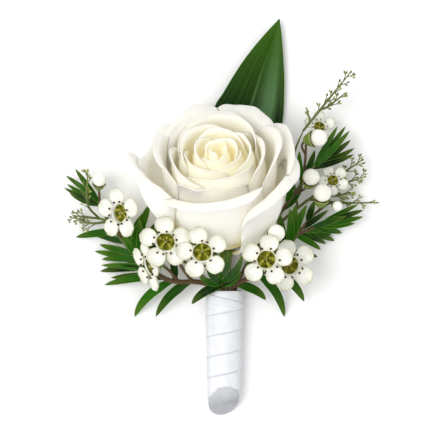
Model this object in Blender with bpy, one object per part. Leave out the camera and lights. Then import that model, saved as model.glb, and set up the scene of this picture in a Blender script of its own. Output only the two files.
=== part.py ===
"""Boutonniere: a white rose with waxflower, ruscus and grass sprays on a ribbon-wrapped handle.

The part lies on its back on the plane z = 0. +Y runs from the cut end of the handle to the
tip of the long leaf, +X to the right and +Z away from the surface. The origin is the middle
of the flat on the back of the handle. Sizes are millimetres, turned to metres by MM.
"""

import math
import random
from dataclasses import dataclass

import bmesh
import bpy
from mathutils import Matrix, Vector

MM = 0.001
GAP = 0.35                      # clear space between neighbouring pieces
FLAT_ANGLE = math.radians(2.0)  # faces closer to one plane than this are joined again

# Ribbon sleeve -------------------------------------------------------------------------
HANDLE_TOP = 19.2
HANDLE_AXIS_Z = 5.6
HANDLE_TOP_RADIUS = 6.6
HANDLE_END_RADIUS = 5.5
RIBBON_PITCH = 6.0
RIBBON_TURNS = 11
RIBBON_STEP = 0.45              # how far each turn stands over the one below
RIBBON_TUCK = 0.2               # slope of the step between two turns
END_FRONT_Y = -15.0             # the cut slants from the front edge ...
END_BACK_Y = -25.0              # ... down to the back edge
END_SKEW = 0.22
SLEEVE_SIDES = 18
SLEEVE_BORE = 5.1
SLEEVE_BORE_END = -11.6

# Stem binding --------------------------------------------------------------------------
BINDING_RADIUS = 4.7
BINDING_BOTTOM = -11.0
BINDING_TOP = 15.0
STEM_END_Y = -8.0
HOLE_CLEARANCE = 0.5
SLOT_REACH = 3.35               # from the handle's axis to each thin stem
SLOT_STEM = 0.5
TAPERED = (SLOT_STEM, SLOT_STEM, SLOT_STEM)
SLOT_ANGLES = (0, 45, 90, 180, 225, 270, 315)
STRAIGHT_RUN = (-8.0, 15.4, 17.4)

# Rose ----------------------------------------------------------------------------------
ROSE_BASE = Vector((0.6, 37.6, 8.0))
ROSE_AXIS = Vector((-0.075, 0.72, 0.69)).normalized()
PETAL_THICKNESS = 0.65
SPIRAL_TURN = 137.5
SPIRAL_COUNT = 12
SPIRAL_START = 205.0
SPIRAL_INNER = 2.2
SPIRAL_OUTER = 13.0
EYE_HEIGHT = 42.2
HIP_RADIUS = 3.6
HIP_LENGTH = 7.0
HIP_SIDES = 10
ROSE_STEM_RADIUS = 1.6
SEPAL_COUNT = 5
SEPAL_WIDTH = 4.4
PETAL_GRID = (6, 5)             # spaces across and up an outer petal
HEART_GRID = (6, 3)
SPIRAL_GRID = (5, 3)
HEART_SIDES = 12

# Waxflower -----------------------------------------------------------------------------
CUP_RADIUS = 3.25
CUP_DEPTH = 4.2
CUP_SIDES = 8
WAX_PETAL_RADIUS = 2.95
WAX_PETAL_REACH = 5.95          # from the middle of the flower to the middle of a petal
WAX_PETAL_RISE = 1.1
WAX_PETAL_SIDES = 8
WAX_PETAL_FOOT = 0.37          # height of the middle of a petal over the cup's rim
WAX_THICKNESS = 0.65
WAX_PETALS = 5
WAX_RING = (2.9, 3.9)
WAX_RING_SIDES = 8
CALYX_SIDES = 9
BUD_SIDES = 9
BUD_RINGS = 6

# Leaves and stems ----------------------------------------------------------------------
LEAF_THICKNESS = 0.75
LEAF_FLOOR = 0.02               # no leaf dips lower than this over the surface
BLADE_SEGMENTS = 3
RUSCUS_THICKNESS = 0.7
TWIG_RADIUS = 0.8
STEM_SIDES = 5
SPRAY_RADIUS = 0.42
SPRAY_STEM = (0.45, 0.45, 0.45, 0.5, 0.5, 0.5, 0.5, 0.45)
SEED_LENGTH = 1.7
SEED_RADIUS = 0.55
SEED_STALK = 0.3
SEED_SIDES = 3
RUSCUS_HALF_WIDTH = 13.4
RUSCUS_LEFT_SHARE = 0.86        # the left half is narrower than the right
RUSCUS_ACROSS = 6
RUSCUS_ALONG = 12
RUSCUS_FOLD_LEFT = 0.34
RUSCUS_FOLD_RIGHT = 0.12


def clear_scene():
    """Remove every object that the scene starts with."""
    for item in list(bpy.data.objects):
        bpy.data.objects.remove(item, do_unlink=True)


def material(name, color, roughness, metallic=0.0):
    """A Principled material with one colour (linear RGB)."""
    made = bpy.data.materials.new(name)
    made.use_nodes = True
    shader = made.node_tree.nodes["Principled BSDF"]
    shader.inputs["Base Color"].default_value = (*color, 1.0)
    shader.inputs["Roughness"].default_value = roughness
    shader.inputs["Metallic"].default_value = metallic
    made.diffuse_color = (*color, 1.0)
    return made


def solid(name, points, faces, finish=None):
    """One mesh object from millimetre points, its faces turned outward."""
    mesh = bpy.data.meshes.new(name)
    mesh.from_pydata([tuple(c * MM for c in p) for p in points], [], faces)
    work = bmesh.new()
    work.from_mesh(mesh)
    bmesh.ops.triangulate(work, faces=work.faces)
    bmesh.ops.recalc_face_normals(work, faces=work.faces)
    work.to_mesh(mesh)
    work.free()
    made = bpy.data.objects.new(name, mesh)
    bpy.context.scene.collection.objects.link(made)
    if finish is not None:
        mesh.materials.append(finish)
    return made


def shell_volume(faces):
    """Signed volume inside a set of triangles."""
    return sum(f.verts[0].co.dot(f.verts[1].co.cross(f.verts[2].co)) for f in faces) / 6.0


def keep_main_shell(mesh):
    """Keep the largest shell: fills sealed hollows and drops loose scraps."""
    work = bmesh.new()
    work.from_mesh(mesh)
    bmesh.ops.triangulate(work, faces=work.faces)
    seen = set()
    shells = []
    for start in work.faces:
        if start in seen:
            continue
        seen.add(start)
        shell = [start]
        for face in shell:
            for edge in face.edges:
                for other in edge.link_faces:
                    if other not in seen:
                        seen.add(other)
                        shell.append(other)
        shells.append(shell)
    main = max(shells, key=shell_volume)
    loose = [face for shell in shells if shell is not main for face in shell]
    bmesh.ops.delete(work, geom=loose, context="FACES")
    bmesh.ops.dissolve_limit(work, angle_limit=FLAT_ANGLE, verts=work.verts, edges=work.edges)
    bmesh.ops.triangulate(work, faces=work.faces)
    work.to_mesh(mesh)
    work.free()


def fuse(name, pieces, finish, solver="EXACT"):
    """Join overlapping closed pieces into one closed body."""
    base = pieces[0]
    group = bpy.data.collections.new(name + "_pieces")
    for piece in pieces[1:]:
        group.objects.link(piece)
    join = base.modifiers.new("join", "BOOLEAN")
    join.operation = "UNION"
    join.operand_type = "COLLECTION"
    join.collection = group
    join.solver = solver
    graph = bpy.context.evaluated_depsgraph_get()
    mesh = bpy.data.meshes.new_from_object(base.evaluated_get(graph))
    for piece in pieces:
        bpy.data.objects.remove(piece, do_unlink=True)
    bpy.data.collections.remove(group)
    keep_main_shell(mesh)
    mesh.name = name
    mesh.materials.clear()
    mesh.materials.append(finish)
    made = bpy.data.objects.new(name, mesh)
    bpy.context.scene.collection.objects.link(made)
    return made


def shade(item, angle=40.0):
    """Smooth shading with creases sharper than the angle."""
    item.data.shade_smooth()
    item.data.set_sharp_from_angle(angle=math.radians(angle))


def catmull(points, share):
    """Point on a smooth curve through the given points, share from 0 to 1."""
    last = len(points) - 1
    place = min(max(share, 0.0), 1.0) * last
    index = min(int(place), last - 1)
    f = place - index
    b, c = points[index], points[index + 1]
    a = points[index - 1] if index > 0 else b * 2 - c
    d = points[index + 2] if index + 2 <= last else c * 2 - b
    return 0.5 * (b * 2 + (c - a) * f + (a * 2 - b * 5 + c * 4 - d) * f ** 2
                  + (b * 3 - a - c * 3 + d) * f ** 3)


def frame_to(direction, hint=Vector((0, 0, 1))):
    """Rotation that carries +Z onto the direction."""
    z = direction.normalized()
    if abs(z.dot(hint.normalized())) > 0.98:
        hint = Vector((0, 1, 0))
    x = hint.cross(z).normalized()
    y = z.cross(x)
    return Matrix((x, y, z)).transposed()


def tube(name, route, radii, sides=STEM_SIDES, steps=None):
    """Round stem along a smooth route, its radius read along the list."""
    points = [Vector(p) for p in route]
    steps = steps or len(points)
    line = [catmull(points, i / steps) for i in range(steps + 1)]
    widths = [Vector((r, 0)) for r in radii]
    verts, faces = [], []
    side = None
    for i, point in enumerate(line):
        ahead = line[min(i + 1, steps)] - line[max(i - 1, 0)]
        ahead.normalize()
        if side is None:
            side = frame_to(ahead).col[0].copy()
        side = (side - ahead * side.dot(ahead)).normalized()
        other = ahead.cross(side)
        radius = catmull(widths, i / steps).x
        for k in range(sides):
            turn = 2 * math.pi * k / sides
            verts.append(point + (side * math.cos(turn) + other * math.sin(turn)) * radius)
    for i in range(steps):
        for k in range(sides):
            a, b = i * sides + k, i * sides + (k + 1) % sides
            faces.append((a, b, b + sides, a + sides))
    faces.append(tuple(range(sides - 1, -1, -1)))
    faces.append(tuple(steps * sides + k for k in range(sides)))
    return solid(name, verts, faces)


def blade(name, root, tip, width, bow=(0, 0, 0), face=(0, 0, 1)):
    """Narrow leaf from root to tip: a four-sided section, widest past its middle."""
    segments = BLADE_SEGMENTS
    thick = LEAF_THICKNESS / 2
    root, tip = Vector(root), Vector(tip)
    middle = (root + tip) / 2 + Vector(bow)
    up = Vector(face)
    verts, faces = [], []
    for i in range(segments):
        share = i / segments
        point = root * (1 - share) ** 2 + middle * 2 * share * (1 - share) + tip * share ** 2
        ahead = ((middle - root) * (1 - share) + (tip - middle) * share).normalized()
        side = ahead.cross(up).normalized()
        lift = side.cross(ahead)
        half = width / 2 * (0.32 + 0.68 * math.sin(math.pi * min(1.0, share * 1.12 + 0.06)))
        point.z = max(point.z, thick + LEAF_FLOOR)
        verts += [point - side * half, point + lift * thick, point + side * half, point - lift * thick]
    verts.append(tip)
    for i in range(segments - 1):
        for k in range(4):
            a, b = 4 * i + k, 4 * i + (k + 1) % 4
            faces.append((a, b, b + 4, a + 4))
    last = 4 * (segments - 1)
    faces += [(last + k, last + (k + 1) % 4, len(verts) - 1) for k in range(4)]
    faces.append((3, 2, 1, 0))
    return solid(name, verts, faces)


# Rose ----------------------------------------------------------------------------------

@dataclass(frozen=True)
class Petal:
    """One rose petal as a shell round the bloom's axis.

    turn and half are the middle and half width of its angle in degrees, 270 being the front.
    line holds (radius, height) from root to crest. curl is the radius and sweep of the
    rolled lip and flap the hem that hangs from it, longest on the left. corner is the height
    left at the side edges, lean tips the rim to one side, slant and hug carry one or both
    side edges inward and roll turns the left side edge outward.
    """

    turn: float
    half: float
    line: tuple
    curl: tuple = (2.5, 80)
    corner: float = 0.5
    lean: float = 0.0
    slant: float = 0.0
    hug: float = 0.0
    flap: float = 0.0
    roll: float = 0.0

    def profile(self, t, u):
        """Radius and height at share t of the way from root to lip."""
        points = [Vector(p) for p in self.line]
        fade = 1 - 0.7 * abs(u) ** 3
        radius, sweep = self.curl[0], math.radians(self.curl[1] * fade)
        hem = self.flap * fade * (1 - 0.6 * u)
        length = sum((b - a).length for a, b in zip(points, points[1:]))
        way = t * (length + radius * sweep + hem)
        if way <= length:
            return catmull(points, way / length)
        crest = catmull(points, 1.0)
        ahead = crest - catmull(points, 0.97)
        angle = math.atan2(ahead.y, ahead.x)
        rolled = angle - min(sweep, (way - length) / radius)
        hang = max(0.0, way - length - radius * sweep)
        arc = radius * Vector((math.sin(angle) - math.sin(rolled), math.cos(rolled) - math.cos(angle)))
        return crest + arc + hang * Vector((math.cos(rolled), math.sin(rolled)))

    def at(self, u, t):
        """Point of the petal's middle surface, u from -1 to 1 across and t from 0 to 1 up."""
        root = Vector(self.line[0])
        place = self.profile(t, u)
        outline = self.corner + (1 - self.corner) * (1 - min(abs(u), 1.0) ** 3) ** 0.4
        rise = min(1.0, t * 1.4)
        keep = 1 + (outline * (1 + self.lean * u) - 1) * rise * rise * (3 - 2 * rise)
        radius = root.x + (place.x - root.x) * (1 + (keep - 1) * 0.55)
        height = root.y + (place.y - root.y) * keep
        radius = radius * (1 - self.hug * u * u * t) + self.slant * u * t
        turned_out = max(0.0, (-u - 0.5) / 0.5) ** 2 * self.roll * rise
        radius += turned_out
        angle = math.radians(self.turn + self.half * u) + 0.8 * turned_out / radius
        return Vector((radius * math.cos(angle), radius * math.sin(angle), height))


OUTER_PETALS = (
    Petal(186, 33, ((10.5, 3.5), (20, 12), (26.6, 24), (26.2, 34.4)), (3.4, 105), 0.55, 0.10, -6.5),
    Petal(335, 54, ((10.5, 2.5), (17, 8.8), (21.3, 20.8), (22, 31.2)), (2.7, 140), 0.42, 0.06, 2.6,
          roll=3.2),
    Petal(16, 38, ((10.5, 3.5), (18, 12), (22.6, 24), (23.8, 34.6)), (4.6, 82), 0.5),
    Petal(62, 46, ((10.5, 4.5), (17, 13), (20.4, 26), (21.4, 35.6)), (4.4, 80), 0.5),
    Petal(112, 50, ((10.5, 5.5), (16.5, 14), (19.6, 26), (20.2, 35.8)), (4.2, 85), 0.5),
    Petal(152, 44, ((10.5, 4.5), (19, 12), (24.0, 23), (25.0, 31.6)), (4.2, 88), 0.5),
)
CUP_PETALS = (
    Petal(262, 62, ((11.5, 7), (17, 13.8), (19.4, 23.8), (18.6, 32.2)), (3.0, 118), 0.75, 0.14, -0.6,
          flap=2.0),
    Petal(8, 46, ((11.5, 8), (16.2, 15.8), (19.0, 27.2), (19.6, 37.9)), (2.3, 80), 0.6, 0.03, 1.5),
    Petal(176, 40, ((11.5, 8), (16.4, 15.8), (18.6, 27.2), (18.9, 38.9)), (2.2, 78), 0.6, 0.0, -2.0),
    Petal(100, 62, ((11.5, 9), (15.9, 17.8), (18.2, 28.2), (18.4, 38.7)), (2.2, 78), 0.6),
)
HEART_PETALS = (
    Petal(8, 58, ((11.5, 13), (14.8, 20), (15.6, 30), (14.8, 38.4)), (1.5, 78), 0.65),
    Petal(90, 84, ((11.5, 15), (14.6, 22), (16.4, 32.6), (16.4, 40.2)), (1.5, 78), 0.75, 0.0, 0.0, 0.22),
    Petal(204, 56, ((11.5, 12), (14.6, 20), (15.8, 31), (15.3, 39.4)), (1.5, 78), 0.65),
    Petal(262, 58, ((11.5, 11), (15, 18), (16.0, 28), (15.3, 36.0)), (1.7, 80), 0.7, 0.03, -1.2),
)
CORE_LINE = ((3.2, 0.35), (7.4, 1.6), (10.6, 4.2), (12.2, 8), (12.9, 13), (12.3, 19), (10.4, 24.5),
             (7.4, 28.5), (4.0, 30.6))


def spiral_petals():
    """The inner petals, each turned past the last and a little further out."""
    made = []
    for i in range(SPIRAL_COUNT):
        share = i / (SPIRAL_COUNT - 1)
        turn = (SPIRAL_START + i * SPIRAL_TURN) % 360
        radius = SPIRAL_INNER + (SPIRAL_OUTER - SPIRAL_INNER) * share
        front = max(0.0, -math.sin(math.radians(turn)))
        height = EYE_HEIGHT - 0.06 * radius - 0.14 * radius * front
        line = ((radius * 0.95, height - 16), (radius * 1.03 + 0.9, height - 7), (radius, height - 1))
        made.append(Petal(turn, 80 - 14 * share, line, (0.8 + 0.7 * share, 60 + 20 * share), 0.7,
                          slant=-0.7))
    return made


def grid_edge(across, up):
    """Pairs of neighbouring points round the edge of a grid numbered row by row."""
    row = across + 1
    loop = list(range(across)) + [j * row + across for j in range(up)]
    loop += [up * row + i for i in range(across, 0, -1)] + [j * row for j in range(up, 0, -1)]
    return list(zip(loop, loop[1:] + loop[:1]))


def petal_shell(name, petal, across, up):
    """A petal as a closed shell of even thickness, split into triangles alike on both faces."""
    step = 0.02
    inner, outer = [], []
    for j in range(up + 1):
        t = 1 - (1 - j / up) ** 1.35
        for i in range(across + 1):
            u = 2 * i / across - 1
            ease = max(-0.985, min(0.985, u))
            point = petal.at(ease, t)
            low, high = max(t - step, 0.0), min(t + step, 1.0)
            along = petal.at(ease, high) - petal.at(ease, low)
            over = petal.at(min(ease + step, 1), t) - petal.at(max(ease - step, -1), t)
            normal = over.cross(along).normalized()
            inner.append(point - normal * PETAL_THICKNESS / 2)
            outer.append(point + normal * PETAL_THICKNESS / 2)
    row = across + 1
    count = len(inner)
    faces = []
    for j in range(up):
        for i in range(across):
            a, b, c, d = j * row + i, j * row + i + 1, (j + 1) * row + i + 1, (j + 1) * row + i
            faces += [(a, b, c), (a, c, d)]
            faces += [(count + a, count + c, count + b), (count + a, count + d, count + c)]
    for a, b in grid_edge(across, up):
        faces += [(a, count + a, count + b), (a, count + b, b)]
    return solid(name, inner + outer, faces)


def turned(name, line, sides):
    """Solid turned round +Z from (radius, height) points, closed flat at both ends."""
    verts = [(r * math.cos(2 * math.pi * k / sides), r * math.sin(2 * math.pi * k / sides), h)
             for r, h in line for k in range(sides)]
    faces = []
    for i in range(len(line) - 1):
        for k in range(sides):
            a, b = i * sides + k, i * sides + (k + 1) % sides
            faces.append((a, b, b + sides, a + sides))
    faces.append(tuple(range(sides - 1, -1, -1)))
    faces.append(tuple((len(line) - 1) * sides + k for k in range(sides)))
    return solid(name, verts, faces)


def rose_matrix():
    """Placement of the bloom: local +Z along the rose's axis, local -Y to the front."""
    z = ROSE_AXIS
    x = (Vector((1, 0, 0)) - z * z.x).normalized()
    y = z.cross(x)
    return Matrix.Translation(ROSE_BASE * MM) @ Matrix((x, y, z)).transposed().to_4x4()


def rose_bloom(white):
    """All petals and the heart of the bloom, one body."""
    pieces = [turned("heart", CORE_LINE, HEART_SIDES)]
    layers = ((OUTER_PETALS + CUP_PETALS, PETAL_GRID), (HEART_PETALS, HEART_GRID),
              (spiral_petals(), SPIRAL_GRID))
    for petals, grid in layers:
        pieces += [petal_shell("petal", petal, *grid) for petal in petals]
    bloom = fuse("rose_petals", pieces, white, "MANIFOLD")
    bloom.data.transform(rose_matrix())
    shade(bloom, 50)
    return bloom


# Stems, leaves and flowers -------------------------------------------------------------

def slot(angle):
    """Place of a stem in the binding: offset from the handle's axis, by direction."""
    turn = math.radians(angle)
    return Vector((SLOT_REACH * math.cos(turn), 0, HANDLE_AXIS_Z + SLOT_REACH * math.sin(turn)))


def rooted(angle, route):
    """Route of a stem that stands in the binding and then follows its own points."""
    place = slot(angle)
    return [place + Vector((0, y, 0)) for y in STRAIGHT_RUN] + [Vector(p) for p in route]


@dataclass(frozen=True)
class Flower:
    """An open waxflower: the middle of its cup's rim, the way it faces and its spin."""

    name: str
    place: tuple
    facing: tuple
    spin: float
    size: float = 1.0

    def matrix(self):
        """Placement in millimetres."""
        turn = frame_to(Vector(self.facing)).to_4x4() @ Matrix.Rotation(math.radians(self.spin), 4, "Z")
        return Matrix.Translation(Vector(self.place)) @ turn @ Matrix.Scale(self.size, 4)

    def root(self):
        """Point inside the foot of the cup, where the flower stalk ends."""
        return self.matrix() @ Vector((0, 0, -CUP_DEPTH * 0.75))


@dataclass(frozen=True)
class Bud:
    """A closed bud: its middle, its radius and the way from its stalk to its tip."""

    name: str
    place: tuple
    radius: float
    facing: tuple

    def matrix(self):
        """Placement in millimetres."""
        turn = frame_to(Vector(self.facing)).to_4x4()
        return Matrix.Translation(Vector(self.place)) @ turn

    def root(self):
        """Point inside the foot of the calyx."""
        return self.matrix() @ Vector((0, 0, -self.radius * 1.45 - GAP))


def move(item, matrix):
    """Place a piece by a matrix in millimetres."""
    shift = matrix.copy()
    shift.translation = shift.translation * MM
    item.data.transform(shift)
    return item


def cup(flower):
    """Green cup of a waxflower with a dished disc."""
    low = -GAP / 2 / flower.size
    line = ((0.8, -CUP_DEPTH), (2.3, -2.6), (3.0, -1.0), (CUP_RADIUS, low), (2.7, low), (2.2, -1.1))
    return move(turned("cup", line, CUP_SIDES), flower.matrix())


def calyx(bud):
    """Small green cup under a bud, hollowed to take it with a gap."""
    r = bud.radius
    inner = r + GAP + 0.15
    line = ((0.3 * r, -1.75 * r - GAP), (0.72 * r, -1.2 * r - GAP), (0.95 * r, -0.72 * r),
            (0.6 * inner, -0.74 * inner), (0.3 * inner, -0.96 * inner))
    return move(turned("calyx", line, CALYX_SIDES), bud.matrix())


def wax_petals(flower, finish):
    """White ring and five cupped round petals of a waxflower, one body."""
    low = GAP / 2 / flower.size
    high = low + WAX_THICKNESS
    sides = WAX_RING_SIDES
    ring = [(WAX_RING[0], low), (WAX_RING[1], low), (WAX_RING[1], high), (WAX_RING[0], high)]
    verts = [(r * math.cos(2 * math.pi * k / sides), r * math.sin(2 * math.pi * k / sides), z)
             for k in range(sides) for r, z in ring]
    faces = [(4 * k + j, 4 * ((k + 1) % sides) + j, 4 * ((k + 1) % sides) + (j + 1) % 4,
              4 * k + (j + 1) % 4) for k in range(sides) for j in range(4)]
    pieces = [solid("ring", verts, faces)]
    pieces += [wax_petal(2 * math.pi * (index + 0.1) / WAX_PETALS) for index in range(WAX_PETALS)]
    bloom = fuse(flower.name, pieces, finish)
    move(bloom, flower.matrix())
    shade(bloom)
    return bloom


def wax_petal(turn):
    """One round petal, cupped upward, as a closed shell."""
    verts = []
    for lift in (-WAX_THICKNESS / 2, WAX_THICKNESS / 2):
        verts.append((WAX_PETAL_REACH, 0, WAX_PETAL_FOOT + lift))
        for k in range(WAX_PETAL_SIDES):
            angle = 2 * math.pi * k / WAX_PETAL_SIDES
            rise = WAX_PETAL_RISE * (0.66 + 0.27 * math.cos(angle))
            verts.append((WAX_PETAL_REACH + WAX_PETAL_RADIUS * math.cos(angle),
                          WAX_PETAL_RADIUS * math.sin(angle), WAX_PETAL_FOOT + rise + lift))
    count = WAX_PETAL_SIDES + 1
    faces = []
    for k in range(WAX_PETAL_SIDES):
        a, b = 1 + k, 1 + (k + 1) % WAX_PETAL_SIDES
        faces += [(0, b, a), (count, count + a, count + b)]
        faces += [(a, b, count + b), (a, count + b, count + a)]
    spun = Matrix.Rotation(turn, 4, "Z")
    return solid("petal", [spun @ Vector(v) for v in verts], faces)


def bud_body(bud, finish):
    """White closed petals of a bud: a ball with a slight point."""
    line = []
    for i in range(1, BUD_RINGS):
        angle = math.pi * i / BUD_RINGS
        point = 1.0 + 0.06 * max(0.0, -math.cos(angle)) ** 4
        line.append((bud.radius * math.sin(angle), -bud.radius * math.cos(angle) * point))
    body = turned(bud.name, line, BUD_SIDES)
    body.data.materials.append(finish)
    move(body, bud.matrix())
    shade(body, 60)
    return body


FLOWERS = (
    Flower("waxflower_a", (-35.4, 46.2, 15.5), (-0.6, -0.1, 0.8), 20),
    Flower("waxflower_b", (-19.7, 36.6, 31.0), (-0.15, -0.2, 0.97), 50),
    Flower("waxflower_c", (-24.9, 28.3, 19.5), (-0.85, -0.3, 0.43), 0),
    Flower("waxflower_d", (-7.4, 33.2, 37.5), (0.0, -0.2, 0.98), 95),
    Flower("waxflower_e", (14.1, 30.6, 33.0), (0.05, -0.2, 0.98), 60),
    Flower("waxflower_f", (22.3, 28.4, 20.5), (0.25, -0.1, 0.96), 30),
    Flower("waxflower_g", (33.0, 76.0, 8.5), (0.1, 0.2, 0.97), 0, 0.62),
    Flower("waxflower_h", (37.6, 57.4, 8.8), (0.15, 0.2, 0.97), 40, 0.62),
)
BUDS = (
    Bud("bud_upper", (32.5, 72.0, 14.5), 3.0, (0.9, 0.15, 0.4)),
    Bud("bud_middle", (29.9, 58.5, 16.0), 2.9, (0.2, 0.6, 0.7)),
    Bud("bud_lower", (33.7, 53.0, 15.8), 3.1, (0.1, 0.8, 0.6)),
    Bud("bud_small", (39.0, 48.6, 12.9), 1.75, (0.3, -0.2, 0.9)),
    Bud("bud_left", (-43.0, 57.8, 11.5), 2.5, (0.1, 0.7, 0.7)),
    Bud("bud_front", (17.6, 39.4, 30.0), 2.9, (0.3, 0.5, 0.8)),
)


def flower(name):
    """The flower or bud of this name."""
    return next(item for item in FLOWERS + BUDS if item.name == name)


def leaves(rows):
    """Blades from rows of root, tip, width and bow."""
    return [blade("leaf", *row) for row in rows]


def sprig(name, stems, leaf_rows, heads, finish):
    """Leafy twig: stems, leaves and the green cups of its flowers and buds, one body."""
    pieces = [tube("stem", route, radii) for route, radii in stems]
    pieces += leaves(leaf_rows)
    for head in heads:
        item = flower(head)
        pieces.append(cup(item) if isinstance(item, Flower) else calyx(item))
    made = fuse(name, pieces, finish)
    shade(made)
    return made


def sprig_left(finish):
    """Twig to the left with its tuft, its lower leaves, three flowers and a bud."""
    twig = rooted(180, [(-4.0, 20.5, 6.2), (-9, 22.3, 8.8), (-18.5, 22.8, 10.6), (-26.5, 27.5, 8),
                        (-34, 35, 6.5), (-41.8, 46, 6.5), (-43.5, 50.5, 7)])
    stems = [
        (twig, (*TAPERED, TWIG_RADIUS, 0.9, 0.85, 0.8, 0.7, 0.6, 0.5)),
        (((-36, 37.7, 6.4), (-36, 42.5, 9), flower("waxflower_a").root()), (0.6, 0.5, 0.5)),
        (((-11, 22.5, 9.2), (-15, 28.5, 19), flower("waxflower_b").root()), (0.7, 0.55, 0.5)),
        (((-16, 22.8, 10.2), (-18.5, 26, 14.5), flower("waxflower_c").root()), (0.6, 0.5, 0.5)),
        (((-43.2, 50, 7), (-43.3, 53, 8), flower("bud_left").root()), (0.5, 0.4, 0.4)),
    ]
    rows = [
        ((-43.3, 49.8, 7), (-51.6, 61.5, 7.5), 1.9),
        ((-43.3, 49.9, 7), (-55.1, 59.2, 4), 1.8, (0, 0.6, 1)),
        ((-43.4, 49.7, 7), (-52.4, 58.0, 6), 1.6, (0, -0.4, 0)),
        ((-43.2, 49.5, 6.8), (-54.8, 56.3, 2), 1.7, (0, -0.6, 1)),
        ((-43.0, 49.0, 6.7), (-53.7, 53.0, 3), 1.9, (0, -1, 1)),
        ((-37.5, 39.6, 6.5), (-51.8, 37.7, 1.2), 2.5, (0, 1, 2)),
        ((-31.5, 32, 7), (-43.4, 35.2, 4), 2.2, (0, 0, 1)),
        ((-29.5, 30, 7.4), (-42.6, 30, 2.5), 2.3, (0, 1, 2)),
        ((-26.5, 27.5, 8), (-43.3, 25.8, 1.5), 2.6, (0, 1, 3)),
        ((-22, 24.4, 9.6), (-41.9, 21.0, 0.3), 2.6, (0, 1.5, 3)),
        ((-17.9, 22.7, 10.4), (-31.3, 9.9, 0.3), 3.0, (-3, 2.5, 3)),
        ((-11.5, 22.5, 9.3), (-23.8, 10, 3), 3.0, (-2.5, 2.5, 3)),
        ((-30, 31, 7.3), (-21.0, 45.0, 13), 2.6, (-2, 0, -1)),
        ((-33, 34, 6.7), (-27.5, 46.5, 12), 2.8, (-1, 0, 0)),
        ((-22, 24.6, 9.4), (-34, 28.8, 5), 2.4, (0, 1, 1)),
        ((-34.5, 35.8, 6.5), (-47.2, 39.7, 3.2), 2.2, (0, 0.3, 1)),
        ((-28.3, 29, 7.6), (-45.2, 32.8, 1.2), 2.3, (0, 1, 1)),
        ((-25.2, 26.7, 8.3), (-42.8, 28.0, 4.2), 2.2, (0, 1, 1)),
        ((-20.3, 23.6, 9.9), (-39.5, 23.6, 2.6), 2.4, (0, 1.5, 2)),
        ((-27.5, 28.3, 7.7), (-35.5, 39.5, 8.2), 2.3, (-1, 0, 0)),
        ((-43.2, 49.3, 6.9), (-55.6, 55.0, 5.2), 1.7, (0, -0.6, 0.6)),
        ((-17, 22.7, 10.2), (-19.0, 34.0, 13), 2.4, (1, 0, 0)),
        ((-32, 33, 6.9), (-25.6, 49.5, 13), 3.2, (-0.5, 0, 0)),
        ((-26, 27.2, 8.1), (-23.0, 42.5, 17), 3.2, (-1, 0, 1)),
        ((-29, 30, 7.5), (-29.2, 44.5, 16), 2.8, (0.6, 0, 0)),
    ]
    heads = ("waxflower_a", "waxflower_b", "waxflower_c", "bud_left")
    return sprig("sprig_left", stems, rows, heads, finish)


def sprig_centre(finish):
    """Short twig in front of the rose with one flower and the leaves round it."""
    twig = rooted(90, [(-0.6, 21, 10.4), (-2.4, 24, 15), (-4.6, 28, 24), flower("waxflower_d").root()])
    stems = [(twig, (*TAPERED, TWIG_RADIUS, 0.7, 0.6, 0.56))]
    rows = [
        ((-0.6, 21.2, 11.2), (-11.2, 14.6, 9), 2.9, (-1.5, 2.4, 6.4)),
        ((-2.2, 24, 15), (1.3, 33.6, 33), 2.9, (1.5, -2.5, 2)),
        ((-1.2, 22.5, 13), (6.0, 32.0, 30), 2.7, (2, -2.5, 0)),
        ((-0.6, 21.4, 11), (5.0, 27.5, 20), 2.2, (1, -1, 0)),
        ((-1.5, 23, 13.5), (-0.5, 27.6, 22), 2.0, (0, -1, 0)),
        ((-0.8, 21.6, 11.4), (-8.5, 24.6, 19), 2.4, (-1, -1, 1)),
        ((-1.0, 21.9, 12), (-6.0, 29.5, 26), 2.4, (-1, -1.5, 0)),
        ((-0.3, 21.3, 11.2), (5.6, 26.2, 17), 2.6, (1, -1, 1)),
    ]
    return sprig("sprig_centre", stems, rows, ("waxflower_d",), finish)


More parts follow.
